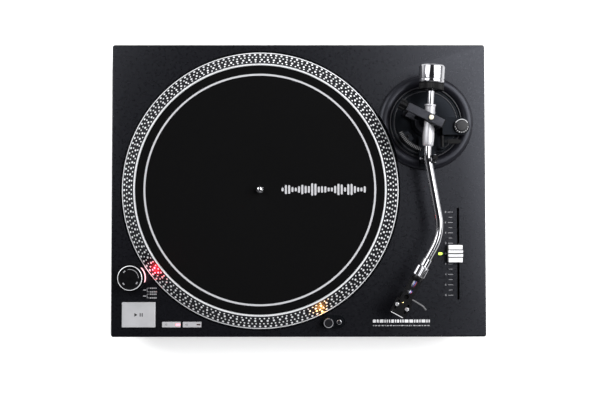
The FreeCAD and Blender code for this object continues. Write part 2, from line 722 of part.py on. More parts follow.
def build_arm_bracket():
    """The arm out of the base with the rest's saddle and prong, and the cue lever's ear and pin."""
    top = BASE_LEVEL + 5
    slab = box((143.9, 26, BASE_LEVEL), (19, 38, 5))
    wing = box((162, 45.5, BASE_LEVEL), (12, 7, 5))
    hub = rod(17, (0, 0, BASE_LEVEL - 1), 8, PIVOT)
    collar_clear = cut(rod(size.collar_radius + 2, (0, 0, BASE_LEVEL - 1), 6.2, PIVOT),
                       rod(size.collar_bore - 0.6, (0, 0, BASE_LEVEL - 2), 9, PIVOT))
    column = box((145.6, 30.6, top), (15, 8.4, 119.1 - float(top)))
    saddle = rod(6.4, (REST_ACROSS, 30, 125.3), 10, WORLD, TO_BACK)
    ears = [box((CLIP_ACROSS - 1.9, back, 112), (3.8, 1.6, CLIP_LEVEL - 110.2)) for back in (30.6, 37.4)]
    clip_pin = rod(CLIP_PIN, (CLIP_ACROSS, 30.6, CLIP_LEVEL), 8.4, WORLD, TO_BACK)
    ear = box((LEVER_ACROSS - 2.5, 47.8, BASE_LEVEL), (5, 1.9, LEVER_LEVEL + 2.4 - BASE_LEVEL))
    lever_pin = rod(1, (LEVER_ACROSS, 47.8, LEVER_LEVEL), 16.4, WORLD, TO_BACK)
    base = cut(join(slab, wing), hub, collar_clear)
    reach = box((143.9, 26, top), (19, 19, 3.4))
    keep("arm_bracket", join(cut(join(base, reach, column), saddle), *ears, clip_pin, ear, lever_pin))


def build_rest_clip():
    """The clip that holds the arm down, standing open beside the tube."""
    eye = rod(2.2, (CLIP_ACROSS, 32.4, CLIP_LEVEL), 4.8, WORLD, TO_BACK)
    strap = box((CLIP_ACROSS - 0.2, 32.4, CLIP_LEVEL + 0.6), (1.3, 4.8, 13.6))
    hook = box((CLIP_ACROSS - 3.4, 32.4, CLIP_LEVEL + 13), (4.5, 4.8, 1.2))
    bore = rod(CLIP_PIN + size.running, (CLIP_ACROSS, 32, CLIP_LEVEL), 6, WORLD, TO_BACK)
    keep("rest_clip", cut(join(eye, strap, hook), bore))


LIFT_ANGLE = 218
LIFT_ORBIT = 30.5
PLATFORM_START = 203
PLATFORM_SWEEP = 54


def sector(outer, inner, start, sweep, bottom, height):
    """Part of a ring about the arm pivot, from a start angle through a sweep."""
    lean = Rotation(Vector(0, 0, 1), start)
    return pipe_ring(outer, inner, (0, 0, bottom), height, PIVOT, lean, sweep)


def build_cue_lift():
    angle = math.radians(LIFT_ANGLE)
    middle = (LIFT_ORBIT * math.cos(angle), LIFT_ORBIT * math.sin(angle), 0)
    sleeve = [(2 + size.running, BASE_LEVEL), (5.5, BASE_LEVEL), (5.5, 106.5), (5, 107),
              (2 + size.running, 107)]
    keep("lift_housing", turning(sleeve, middle, PIVOT))
    band = sector(38.4, 33.2, PLATFORM_START, PLATFORM_SWEEP, 114.8, 4.3)
    web = sector(36, 27.4, 207, 24, 112.6, 2.4)
    shaft = rod(2, (middle[0], middle[1], 95), 18, PIVOT)
    screw = rod(1.6, (35.4 * math.cos(angle), 35.4 * math.sin(angle), 111.8), 1, PIVOT)
    keep("lift_platform", join(band, web, shaft, screw))


def build_cue_lever():
    barrel = rod(2.2, (LEVER_ACROSS, 50, LEVER_LEVEL), 13.6, WORLD, TO_BACK)
    bore = rod(1 + size.running, (LEVER_ACROSS, 49, LEVER_LEVEL), 16, WORLD, TO_BACK)
    stem = box((LEVER_ACROSS + 1, LEVER_BACK - 1.2, LEVER_LEVEL - 0.9), (7, 2.4, 1.8))
    pad = box((LEVER_ACROSS + 6, LEVER_BACK - 2.8, LEVER_LEVEL - 1.5), (14, 5.6, 3))
    pad = round_edges(pad, 2, is_upright)
    tip = box((LEVER_ACROSS + 19.6, LEVER_BACK - 1.9, LEVER_LEVEL - 1), (2.6, 3.8, 2))
    keep("cue_lever", cut(join(barrel, stem, pad, tip), bore))


SKATE_ACROSS = 192.5
SKATE_BACK = 74.7
SKATE_TOP = 107


def build_antiskate():
    low = 91
    left = 170.3
    tab = box((left, SKATE_BACK - 10.3, low), (SKATE_ACROSS - left, 20.6, SKATE_TOP - low))
    nose = rod(10.3, (SKATE_ACROSS, SKATE_BACK, low), SKATE_TOP - low)
    foot = box((left, SKATE_BACK - 10.3, BASE_LEVEL), (15.7, 20.6, low - BASE_LEVEL))
    bore = rod(3 + size.running, (SKATE_ACROSS, SKATE_BACK, 99), 10)
    keep("antiskate_housing", cut(join(tab, nose, foot), bore))
    knob = [(0, 100), (3, 100), (3, SKATE_TOP + 0.3), (8.7, SKATE_TOP + 0.3), (8.7, 113),
            (8, 113.8), (0, 113.8)]
    knob = turning(knob, (SKATE_ACROSS, SKATE_BACK, 0))
    keep("antiskate_knob", knurled(knob, dim(9.05), 0.5, 40, SKATE_TOP + 0.3, 113))


# ---------------------------------------------------------------- arm

RING_LEFT = -16.5
RING_RIGHT = 12.5
RING_INNER_LEFT = -13
RING_INNER_RIGHT = 10.1
RING_HALF = 5.4
TILT_SCREW = 2
BEARING_OUTER = 3.2


def along_bridge(radius, start, stop):
    """A round bar on the tilt axis, between two distances along the bridge."""
    return rod(radius, (start, 0, 0), stop - start, BRIDGE, TO_RIGHT)


def build_gimbal():
    frame = box((RING_LEFT, -RING_HALF, -11.6), (RING_RIGHT - RING_LEFT, 2 * RING_HALF, 22.8), BRIDGE)
    frame = common(frame, rod(16.9, (0, 0, -12), 24, BRIDGE))
    opening = box((RING_INNER_LEFT, -8, -8.4),
                  (RING_INNER_RIGHT - RING_INNER_LEFT, 16, 16.4), BRIDGE)
    shaft = rod(GIMBAL_SHAFT, (0, 0, -30), 19, BRIDGE)
    side_holes = along_bridge(TILT_SCREW, -20, 20)
    keep("gimbal_ring", join(cut(frame, opening, side_holes), shaft))
    left = join(along_bridge(TILT_SCREW, -16.8, -11), along_bridge(3, -17.6, -16.6))
    right = along_bridge(TILT_SCREW, 8.1, 12.7)
    keep("tilt_screws", group(left, right))
    bearings = []
    for start, stop in ((-12.4, -10.5), (7.7, 9.6)):
        bore = along_bridge(TILT_SCREW + size.running, start - 1, stop + 1)
        bearings.append(cut(along_bridge(BEARING_OUTER, start, stop), bore))
    keep("tilt_bearings", group(*bearings))


def build_arm_housing():
    radius = size.housing_radius
    waist = radius - 0.9
    front = [(0, 0), (waist, 0), (waist, 11), (radius, 11.6), (radius, 27.5),
             (radius - 0.5, 29.5), (size.tube_radius + 0.6, 32), (0, 32)]
    rear = [(0, 0), (waist, 0), (waist, 10.4), (radius - 0.3, 11), (radius - 0.3, 16.6),
            (radius - 0.9, 17.2), (0, 17.2)]
    front = turning(front, (0, 0, 0), ARM, TO_FRONT)
    rear = turning(rear, (0, 0, 0), ARM, TO_BACK)
    boss = along_bridge(4.5, -12.6, 9.8)
    bearing_bore = BEARING_OUTER + size.running
    sockets = [along_bridge(bearing_bore, -13, -10.3), along_bridge(bearing_bore, 7.5, 10),
               along_bridge(TILT_SCREW + 0.3, -11.6, -10), along_bridge(TILT_SCREW + 0.3, 7, 9)]
    tube_bore = rod(size.tube_radius, (0, -12, 0), 22, ARM, TO_FRONT)
    stub_bore = rod(size.stub_radius, (0, 8, 0), 12, ARM, TO_BACK)
    keep("arm_housing", cut(join(front, rear, boss), *sockets, tube_bore, stub_bore))


def build_arm_tube():
    """The S-shaped tube: straight out of the housing, a slight turn, then the offset bend."""
    level = size.arm_level
    start = ARM.vector(0, -12)
    first_bend = ARM.vector(0, -42.3)
    main_bend = Vector(166.6, -51.9, level)
    end = SHELL.vector(0, 8.6)
    path = rounded_path([start, first_bend, main_bend, end], [44, 56])
    outer = swept(path, float(size.tube_radius))
    inner = swept(path, float(size.tube_radius) - 0.9)
    tube = outer.cut(inner)
    length = sum(edge.Length for edge in path.Edges)
    section = math.pi * (float(size.tube_radius) ** 2 - (float(size.tube_radius) - 0.9) ** 2)
    print("arm tube length", round(length, 1), "volume ratio", round(tube.Volume / section / length, 4))
    keep("arm_tube", feature(tube, "arm_tube"))


def build_counterweight():
    stub = size.stub_radius
    keep("rear_stub", rod(stub, (0, 8, 0), 53, ARM, TO_BACK))
    bush_bore = stub + size.running
    bush_outer = stub + 2
    keep("weight_bush", ring(bush_outer, bush_bore, 36, 62, (0, 0, 0), ARM, TO_BACK))
    bore = bush_outer + size.running
    outer = size.weight_radius
    weight = [(bore, 34.6), (8, 34.6), (8, 42), (outer - 0.8, 42), (outer, 42.8),
              (outer, 62.2), (outer - 0.8, 63), (bore, 63)]
    keep("counterweight", turning(weight, (0, 0, 0), ARM, TO_BACK))
    dial_bore = 8 + size.running
    dial = turning([(dial_bore, 34), (14.2, 34), (14.5, 34.3), (14.5, 41.6), (dial_bore, 41.6)],
                   (0, 0, 0), ARM, TO_BACK)
    keep("dial_ring", knurled(dial, dim(14.85), 0.6, 48, 34.3, 41.6))


COLLAR_BORE = size.tube_radius + size.running


def build_headshell():
    collar = turning([(COLLAR_BORE, 0.3), (6.6, 0.3), (7, 0.7), (7, 12.5), (5.6, 13.4), (5.6, 23),
                      (5.2, 23.4), (COLLAR_BORE, 23.4)], (0, 0, 0), SHELL, TO_BACK)
    keep("locking_collar", knurled(collar, dim(7.3), 0.5, 30, 0.7, 12.5))

    plug = rod(4.4, (0, 0, 0), 8.4, SHELL, TO_BACK)
    gasket = rod(6.2, (0, -2.4, 0), 2.4, SHELL, TO_BACK)
    neck = box((-6.75, -33, -2.5), (13.5, 31, 4), SHELL)
    front = box((-9.75, -51.5, -2.5), (19.5, 19.5, 4), SHELL)
    front = round_edges(front, 1.5, is_upright)
    root = rod(5.6, (0, -8, 0), 6, SHELL, TO_BACK)
    slots = [box((side * 6.35 - 1.4, -46, -3), (2.8, 12, 6), SHELL) for side in (-1, 1)]
    window = box((-3.6, -25, -3), (7.2, 14, 6), SHELL)
    lift_path = rounded_path([SHELL.vector(6.2, -27, 0), SHELL.vector(20.5, -27.4, 2.2),
                              SHELL.vector(26.5, -29.8, 1)], [6])
    lift = feature(swept(lift_path, 0.85), "finger_lift")
    keep("headshell", cut(join(plug, gasket, root, neck, front), *slots, window, lift))
    keep("finger_lift", lift)


def build_cartridge():
    flange = box((-9, -44.5, -5), (18, 10, 2.5), SHELL)
    body = box((-8, -47, -17), (16, 23, 14.5), SHELL)
    taps = [rod(1.3, (side * 6.35, -39.7, -9), 8, SHELL) for side in (-1, 1)]
    pins = [rod(0.6, (side, -24.5, level), 5, SHELL, TO_BACK)
            for side in (-3, 3) for level in (-7, -12)]
    keep("cartridge", join(cut(join(flange, body), *taps), *pins))

    grip = box((-5.5, -51.3, -19.6), (11, 4.3, 10), SHELL)
    keel = box((-4, -47.2, -19.6), (8, 14, 2.6), SHELL)
    cantilever = swept(rounded_path([SHELL.vector(0, -41, -19), SHELL.vector(0, -45, -20.6),
                                     SHELL.vector(0, -49.2, -21.4)], [2]), 0.4)
    tip = Part.makeCone(0.45, 0.08, 1, SHELL.vector(0, -48.9, -21), Vector(0, 0, -1))
    needle = feature(cantilever.fuse(tip), "needle")
    keep("stylus", join(grip, keel, needle))

    profile = [(0, 0), (1.25, 0), (1.25, 9.5), (2.3, 9.5), (2.3, 11), (1.8, 11.6), (0, 11.6)]
    screws = [turning(profile, (side * 6.35, -39.7, -8), SHELL) for side in (-1, 1)]
    keep("cartridge_screws", group(*screws))


# ---------------------------------------------------------------- controls

def build_buttons():
    low = 79
    start = block((size.start_across, size.start_back), size.start_wide / 2, size.start_deep / 2, low, 87)
    keep("start_stop_button", round_edges(start, 0.6, is_at_level(87)))
    for name, across in speed_places():
        button = block((across, size.speed_back), size.speed_wide / 2, size.speed_deep / 2, low, 86)
        keep(f"speed_{name}_button", round_edges(button, 0.5, is_at_level(86)))


WINDOW_START = -19.5
WINDOW_SWEEP = 66.5


def build_strobe():
    """The strobe housing with its window towards the platter, and the power knob on top."""
    plinth = size.plinth_top
    at = (size.strobe_across, size.strobe_back)
    top = plinth + 15
    radius = size.strobe_radius
    body = turning([(0, plinth - 4), (STROBE_SPIGOT, plinth - 4), (STROBE_SPIGOT, plinth),
                    (radius, plinth), (radius, top), (0, top)], (*at, 0))
    facing = Rotation(Vector(0, 0, 1), WINDOW_START)
    notch = pipe_ring(radius + 1, radius - 4, (*at, plinth + 2), 11, WORLD, facing, WINDOW_SWEEP)
    bore = rod(3 + size.running, (*at, 91), 10)
    keep("strobe_housing", cut(body, notch, bore))
    inside = Rotation(Vector(0, 0, 1), WINDOW_START + 0.4)
    keep("strobe_window", pipe_ring(radius - 0.2, radius - 3.9, (*at, plinth + 2.1), 10.8,
                                    WORLD, inside, WINDOW_SWEEP - 0.8))
    skirt = top + 0.3
    rim = size.knob_radius
    knob = turning([(0, 92), (3, 92), (3, skirt), (rim, skirt), (rim, skirt + 3.6),
                    (rim - 1.2, skirt + 4.7), (rim - 2.4, skirt + 4.7), (rim - 2.8, skirt + 4),
                    (0, skirt + 4)], (*at, 0))
    keep("power_knob", knurled(knob, rim + 0.3, 0.5, 60, skirt, skirt + 3.6))


LAMP_FACING = 116.8
SLEEVE_RADIUS = 6.4


def build_target_light():
    plinth = size.plinth_top
    lamp = (size.lamp_across, size.lamp_back)
    button = (48.5, -158)
    half_deep = 7.8
    low = 2
    plate = join(block((41.2, -157.5), 6.9, half_deep, plinth, plinth + low),
                 rod(half_deep, (34.3, -157.5, plinth), low), rod(half_deep, (48.1, -157.5, plinth), low))
    sleeve = rod(SLEEVE_RADIUS, (*lamp, 56), 29)
    sleeve = common(sleeve, block((41.2, -157.5), 11.9, 6.9, 50, 90))
    trim = rod(5.2, (*button, plinth + low), 0.6)
    lamp_bore = rod(size.lamp_radius + 0.1, (*lamp, 50), 40)
    button_bore = rod(3.25, (*button, 76), 16)
    keep("light_plate", cut(join(plate, sleeve, trim), lamp_bore, button_bore))

    tip = size.lamp_tip
    radius = size.lamp_radius
    tube = turning([(0, tip - 34), (radius, tip - 34), (radius, tip - 0.8), (radius - 0.8, tip),
                    (0, tip)], (*lamp, 0))
    towards = Rotation(Vector(0, 0, 1), LAMP_FACING)
    facing = Frame((*lamp, 0), Dim(-LAMP_FACING, f"(-{LAMP_FACING})"))
    cavity = rod(3.7, (*lamp, tip - 13), 10.5)
    window = box((0, -3.4, tip - 11), (10, 6.8, 8), facing)
    keep("target_lamp", cut(tube, cavity, window))
    keep("lamp_lens", rod(3.6, (*lamp, tip - 12.95), 10.4, WORLD, towards))
    keep("lamp_button", rod(3.15, (*button, 79), 8.6))


def build_fader():
    at = (size.fader_across, size.fader_back)
    slot_half = size.fader_travel + 5.2
    pot = block(at, 9, slot_half + 6, 66, SKIN_LEVEL)
    track = block(at, 1.15, slot_half, 72, SKIN_LEVEL + 1)
    keep("pitch_pot", cut(pot, track))
    knob_across = size.fader_across - 4.7
    base = block((knob_across, size.fader_back), 8.8, 10.35, 85, 93)
    stem = block(at, 0.95, 4, 73, 86)
    ribs = []
    for offset, half in ((-8.1, 2.15), (-2.75, 2.45), (2.75, 2.45), (8.1, 2.15)):
        rib = block((knob_across, size.fader_back + offset), 8.8, half, 92, 96)
        ribs.append(round_edges(rib, 0.6, is_at_level(96)))
    keep("fader_knob", join(base, stem, *ribs))


# ---------------------------------------------------------------- build and write

def write_nodes():
    """Check every object, then write each node's shape to its own file."""
    doc.recompute()
    for item in doc.Objects:
        if {"Invalid", "Error"} & set(item.State):
            raise RuntimeError(f"{item.Label} failed: {item.State}")
    os.makedirs("parts", exist_ok=True)
    for label, item in nodes.items():
        shape = item.Shape
        if shape.isNull() or not shape.isValid() or not shape.Solids:
            raise RuntimeError(f"{label} has no valid solid")
        shape.exportStep(f"parts/{label}.step")
    print(len(nodes), "nodes written")


build_top_cover()
build_bottom_cover()
build_feet()
build_cover_screws()
build_motor()
build_platter()
build_main_board()
build_transformer()
build_control_board()
build_jack_panel()
build_sockets()
build_rear_controls()
build_arm_base()
build_bridge()
build_arm_bracket()
build_rest_clip()
build_cue_lift()
build_cue_lever()
build_antiskate()
build_gimbal()
build_arm_housing()
build_arm_tube()
build_counterweight()
build_headshell()
build_cartridge()
build_buttons()
build_strobe()
build_target_light()
build_fader()
write_nodes()
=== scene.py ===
"""Looks for the turntable record player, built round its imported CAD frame."""

import json
import math
import random

import bmesh
import bpy
from mathutils import Matrix, Vector

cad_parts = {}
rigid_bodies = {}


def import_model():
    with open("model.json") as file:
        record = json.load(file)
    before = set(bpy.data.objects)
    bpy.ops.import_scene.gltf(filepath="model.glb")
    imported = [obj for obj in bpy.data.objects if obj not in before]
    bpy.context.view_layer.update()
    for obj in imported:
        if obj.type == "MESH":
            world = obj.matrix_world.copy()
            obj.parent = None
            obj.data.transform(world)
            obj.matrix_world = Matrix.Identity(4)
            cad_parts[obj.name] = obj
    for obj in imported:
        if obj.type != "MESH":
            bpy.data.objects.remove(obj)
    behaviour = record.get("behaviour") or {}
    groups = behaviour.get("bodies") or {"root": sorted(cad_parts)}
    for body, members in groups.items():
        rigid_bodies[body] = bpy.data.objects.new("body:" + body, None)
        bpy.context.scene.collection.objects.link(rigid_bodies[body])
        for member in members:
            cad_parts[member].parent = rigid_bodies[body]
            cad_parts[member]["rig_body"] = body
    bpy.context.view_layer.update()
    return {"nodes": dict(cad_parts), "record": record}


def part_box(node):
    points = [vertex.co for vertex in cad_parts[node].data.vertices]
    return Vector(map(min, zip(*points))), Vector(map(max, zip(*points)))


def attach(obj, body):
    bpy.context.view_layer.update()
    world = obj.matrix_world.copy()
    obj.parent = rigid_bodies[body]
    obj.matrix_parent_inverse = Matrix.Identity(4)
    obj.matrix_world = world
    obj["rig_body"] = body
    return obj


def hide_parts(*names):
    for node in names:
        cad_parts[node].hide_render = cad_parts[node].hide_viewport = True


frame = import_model()
MM = 0.001
scene = bpy.context.scene

# ---------------------------------------------------------------- frames, in millimetres

SPINDLE = (-46.0, 0.0)
PIVOT = (153.0, 81.3)
ARM_LEVEL = 124.0
PLINTH_TOP = 84.0
ARM_TURN = 3.7
BRIDGE_TURN = 26.1
SHELL_TURN = 28.7
SHELL_END = (138.9, -102.4)
LEANS = {
    "up": Matrix.Identity(4),
    "back": Matrix.Rotation(-math.pi / 2, 4, "X"),
    "front": Matrix.Rotation(math.pi / 2, 4, "X"),
    "left": Matrix.Rotation(-math.pi / 2, 4, "Y"),
}


def at(x, y, z=0.0, clockwise=0.0, lean="up"):
    """The matrix from a piece's own millimetres to the row frame's metres."""
    turned = Matrix.Rotation(-math.radians(clockwise), 4, "Z")
    moved = Matrix.Translation(Vector((x, y, z)) * MM)
    return moved @ turned @ LEANS[lean] @ Matrix.Scale(MM, 4)


WORLD = at(0, 0)
PLATTER = at(*SPINDLE)
ARM = at(*PIVOT, ARM_LEVEL, ARM_TURN)
BRIDGE = at(*PIVOT, ARM_LEVEL, BRIDGE_TURN)
SHELL = at(*SHELL_END, ARM_LEVEL, SHELL_TURN)


# ---------------------------------------------------------------- materials


class Look:
    """A procedural material: even values on the shader's sockets, variation through nodes."""

    def __init__(self, name, colour, roughness, metallic=0.0, **sockets):
        self.made = bpy.data.materials.new(name)
        self.made.use_nodes = True
        self.tree = self.made.node_tree
        self.shader = self.tree.nodes["Principled BSDF"]
        self.colour = colour
        self.roughness = roughness
        self.shader.inputs["Base Color"].default_value = (*colour, 1)
        self.shader.inputs["Roughness"].default_value = roughness
        self.shader.inputs["Metallic"].default_value = metallic
        for socket, value in sockets.items():
            self.shader.inputs[socket.replace("_", " ")].default_value = value
        self.coords = self.add("ShaderNodeTexCoord").outputs["Object"]
        self.bumps = None

    def add(self, kind):
        return self.tree.nodes.new(kind)

    def link(self, source, target):
        self.tree.links.new(source, target)

    def mapped(self, stretch, move=(0, 0, 0)):
        mapping = self.add("ShaderNodeMapping")
        mapping.inputs["Scale"].default_value = stretch
        mapping.inputs["Location"].default_value = move
        self.link(self.coords, mapping.inputs["Vector"])
        return mapping.outputs["Vector"]

    def noise(self, scale, detail=2.0, stretch=(1, 1, 1)):
        made = self.add("ShaderNodeTexNoise")
        made.inputs["Scale"].default_value = scale
        made.inputs["Detail"].default_value = detail
        self.link(self.mapped(stretch), made.inputs["Vector"])
        return made.outputs["Fac"]

    def circles(self, centre, pitch):
        """Fine turning marks round an upright axis, pitch apart in millimetres."""
        made = self.add("ShaderNodeTexWave")
        made.wave_type = "RINGS"
        made.rings_direction = "Z"
        made.inputs["Scale"].default_value = math.pi / 10 / (pitch * MM)
        made.inputs["Distortion"].default_value = 0.6
        self.link(self.mapped((1, 1, 1), move=(-centre[0] * MM, -centre[1] * MM, 0)), made.inputs["Vector"])
        return made.outputs["Fac"]

    def tint(self, fac, *stops):
        """Colour by a factor: stops are (place, colour)."""
        ramp = self.add("ShaderNodeValToRGB")
        ramp.color_ramp.elements[0].position = stops[0][0]
        ramp.color_ramp.elements[0].color = (*stops[0][1], 1)
        ramp.color_ramp.elements[1].position = stops[-1][0]
        ramp.color_ramp.elements[1].color = (*stops[-1][1], 1)
        for place, colour in stops[1:-1]:
            ramp.color_ramp.elements.new(place).color = (*colour, 1)
        self.link(fac, ramp.inputs["Fac"])
        self.link(ramp.outputs["Color"], self.shader.inputs["Base Color"])
        return self

    def shade(self, fac, spread):
        """The material's own colour, a little darker and lighter by a factor."""
        low = tuple(part * (1 - spread) for part in self.colour)
        high = tuple(min(1, part * (1 + spread)) for part in self.colour)
        return self.tint(fac, (0.3, low), (0.7, high))

    def gloss(self, fac, spread):
        reach = self.add("ShaderNodeMapRange")
        reach.inputs["From Min"].default_value = 0.3
        reach.inputs["From Max"].default_value = 0.7
        reach.inputs["To Min"].default_value = self.roughness * (1 - spread)
        reach.inputs["To Max"].default_value = min(1, self.roughness * (1 + spread))
        self.link(fac, reach.inputs["Value"])
        self.link(reach.outputs["Result"], self.shader.inputs["Roughness"])
        return self

    def dent(self, fac, height):
        """Relief of so many millimetres, added to any relief already there."""
        made = self.add("ShaderNodeBump")
        made.inputs["Distance"].default_value = height * MM
        made.inputs["Strength"].default_value = 1.0
        self.link(fac, made.inputs["Height"])
        if self.bumps:
            self.link(self.bumps, made.inputs["Normal"])
        self.bumps = made.outputs["Normal"]
        self.link(self.bumps, self.shader.inputs["Normal"])
        return self


def paint(name, dark, fleck, roughness, grain=1600, shine=0.5):
    look = Look(name, dark, roughness, Specular_IOR_Level=shine, Specular_Tint=(0.84, 0.87, 1, 1))
    flecks = look.noise(grain, 1)
    half = tuple(0.6 * a + 0.4 * b for a, b in zip(dark, fleck))
    look.tint(flecks, (0.42, dark), (0.6, half), (0.74, fleck))
    look.gloss(look.noise(300, 3), 0.12)
    return look.dent(look.noise(2600, 2), 0.0015).made


def moulded(name, colour, roughness, grain=0.012, shine=0.5):
    look = Look(name, colour, roughness, Specular_IOR_Level=shine)
    look.shade(look.noise(240, 4), 0.18).gloss(look.noise(420, 3), 0.15)
    return look.dent(look.noise(2400, 2), grain).made


def metal(name, colour, roughness, grain=0.002, stretch=(1, 1, 1), solid=1.0):
    look = Look(name, colour, roughness, solid)
    marks = look.noise(1500, 3, stretch)
    look.shade(look.noise(60, 3), 0.06).gloss(marks, 0.25)
    return look.dent(marks, grain).made if grain else look.made


def turned_metal(name, colour, roughness, centre, pitch=0.5, relief=0.002):
    look = Look(name, colour, roughness, 1.0)
    look.shade(look.noise(90, 3), 0.05).gloss(look.noise(500, 2), 0.2)
    return look.dent(look.circles(centre, pitch), relief).made


def lit(name, colour, strength, roughness=0.25):
    look = Look(name, colour, roughness, Emission_Color=(*colour, 1), Emission_Strength=strength)
    return look.shade(look.noise(500, 2), 0.1).made


def printed(name, colour):
    look = Look(name, colour, 0.45)
    return look.shade(look.noise(2200, 2), 0.08).dent(look.noise(3000, 1), 0.002).made


def felt():
    look = Look("felt", (0.003, 0.003, 0.0032), 0.95, Sheen_Weight=0.02, Sheen_Roughness=0.5,
                Sheen_Tint=(0.5, 0.5, 0.52, 1), Specular_IOR_Level=0.06)
    fibres = look.noise(1500, 4)
    look.tint(fibres, (0.35, (0.0012, 0.0012, 0.0013)), (0.6, (0.003, 0.003, 0.0032)),
              (0.78, (0.013, 0.013, 0.014)))
    return look.dent(fibres, 0.09).dent(look.noise(160, 3), 0.06).made


def board():
    look = Look("circuit_board", (0.01, 0.09, 0.03), 0.35)
    look.tint(look.noise(190, 0, (1, 5, 1)), (0.48, (0.008, 0.075, 0.025)), (0.52, (0.02, 0.16, 0.06)))
    return look.dent(look.noise(190, 0, (1, 5, 1)), 0.03).made


LOOKS = {
    "paint": paint("satin_black_paint", (0.0006, 0.0006, 0.0009), (0.009, 0.0092, 0.0122), 0.29, 3000, 0.32),
    "tray": moulded("tray_plastic", (0.012, 0.012, 0.013), 0.55),
    "rubber": moulded("foot_rubber", (0.011, 0.011, 0.011), 0.75, 0.03),
    "zinc": metal("zinc_plate", (0.62, 0.62, 0.64), 0.3),
    "deck": turned_metal("turned_aluminium", (0.5, 0.51, 0.53), 0.32, SPINDLE),
    "bevel": paint("black_bevel", (0.004, 0.004, 0.005), (0.012, 0.012, 0.014), 0.4, shine=0.15),
    "rim": metal("bright_rim", (0.8, 0.81, 0.83), 0.3, 0.0005, solid=0.35),
    "dots": metal("bright_dots", (0.82, 0.83, 0.85), 0.36, solid=0.3),
    "felt": felt(),
    "steel": metal("ground_steel", (0.78, 0.78, 0.8), 0.16, 0.001),
    "ferrite": moulded("ferrite", (0.03, 0.03, 0.032), 0.6),
    "motor": metal("pressed_steel", (0.5, 0.5, 0.52), 0.38),
    "copper": metal("copper_coil", (0.7, 0.32, 0.15), 0.3, 0.02, (1, 1, 8)),
    "bronze": metal("bronze", (0.55, 0.4, 0.2), 0.42, 0.006),
    "board": board(),
    "iron": moulded("laminations", (0.06, 0.06, 0.065), 0.5),
    "sheet": moulded("anodised_sheet", (0.012, 0.012, 0.013), 0.4, 0.004),
    "gilt": metal("gilt", (0.83, 0.62, 0.28), 0.2, 0.001),
    "socket": moulded("socket_plastic", (0.01, 0.01, 0.01), 0.3, 0.003),
    "base_disc": turned_metal("base_disc", (0.008, 0.009, 0.011), 0.4, PIVOT, 0.6),
    "collar_ring": paint("base_collar", (0.004, 0.004, 0.006), (0.012, 0.012, 0.016), 0.34, 2200, 0.3),
    # Lighter grey for the raised ring lines of the arm base: a painted highlight, standing in for light
    # caught on their bevels.
    "ridge": metal("ridge_painted_highlight", (0.045, 0.045, 0.05), 0.35, 0.0005, solid=0.6),
    "bridge": paint("bridge_grey", (0.008, 0.008, 0.01), (0.04, 0.04, 0.046), 0.36, 2400, 0.3),
    "black": moulded("black_plastic", (0.0025, 0.0025, 0.003), 0.36, shine=0.1),
    "dial_grey": moulded("dial_plastic", (0.012, 0.012, 0.014), 0.42, shine=0.3),
    "pale_brass": metal("pale_brass", (0.72, 0.68, 0.56), 0.35, 0.001, solid=0.4),
    # Dark grey: the finger lift's own colour, and painted shade on the fader cap's block and stem, which are
    # white like its ribs.
    "groove": moulded("grey_and_groove_shade", (0.11, 0.11, 0.115), 0.5),
    "band": moulded("black_rubber", (0.004, 0.004, 0.0045), 0.6, 0.01, 0.1),
    # The lift band's ribs are dark rubber like the band; this grey is a painted highlight along them.
    "rib": moulded("rib_highlight_rubber", (0.12, 0.12, 0.125), 0.6, 0.01),
    "silver": metal("satin_silver", (0.4, 0.4, 0.42), 0.42, 0.0, solid=0.6),
    "chrome": metal("chrome_plate", (0.3, 0.3, 0.315), 0.09, 0.0),
    "shell": moulded("anodised_black", (0.0045, 0.0045, 0.005), 0.3, 0.003, 0.14),
    "cartridge": moulded("cartridge_black", (0.003, 0.003, 0.0035), 0.2, 0.002, 0.3),
    "button": metal("button_silver", (0.5, 0.5, 0.52), 0.42, 0.002, solid=0.4),
    "fader": metal("fader_silver", (0.78, 0.78, 0.8), 0.34, 0.002, solid=0.3),
    "white_print": printed("white_print", (0.68, 0.68, 0.7)),
    "grey_print": printed("grey_print", (0.36, 0.36, 0.38)),
    "mat_print": printed("mat_print", (0.42, 0.42, 0.44)),
    "dark_print": printed("dark_print", (0.02, 0.02, 0.022)),
    "red_wire": moulded("red_wire", (0.4, 0.07, 0.08), 0.4, 0.002),
    "white_wire": moulded("white_wire", (0.75, 0.75, 0.74), 0.4, 0.002),
    "lilac_wire": moulded("lilac_wire", (0.4, 0.42, 0.62), 0.4, 0.002),
    "blue_wire": moulded("blue_wire", (0.12, 0.16, 0.55), 0.4, 0.002),
    "strobe_lens": lit("strobe_lens", (1.0, 0.5, 0.55), 1.6),
    "amber_lens": lit("amber_lens", (1.0, 0.5, 0.12), 5.0),
    "red_light": lit("red_light", (1.0, 0.16, 0.2), 3.5),
    "green_light": lit("green_light", (0.62, 1.0, 0.1), 1.5),
    "dark_light": moulded("unlit_light", (0.03, 0.006, 0.006), 0.25, 0.001),
}


# ---------------------------------------------------------------- making pieces


SHARP_ANGLE = 32


def piece_of(name, bm, looks, body, slot=None, stands_for=(), sharp=SHARP_ANGLE):
    """A finished piece from a bmesh that is already in the row frame."""
    mesh = bpy.data.meshes.new(name)
    bmesh.ops.recalc_face_normals(bm, faces=bm.faces)
    bm.to_mesh(mesh)
    bm.free()
    for look in [looks] if isinstance(looks, str) else looks:
        mesh.materials.append(LOOKS[look])
    mesh.polygons.foreach_set("use_smooth", [True] * len(mesh.polygons))
    mesh.set_sharp_from_angle(angle=math.radians(sharp))
    piece = bpy.data.objects.new(name, mesh)
    scene.collection.objects.link(piece)
    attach(piece, body)
    if stands_for:
        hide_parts(*([stands_for] if isinstance(stands_for, str) else stands_for))
    return piece


ROUND_STEPS = 3


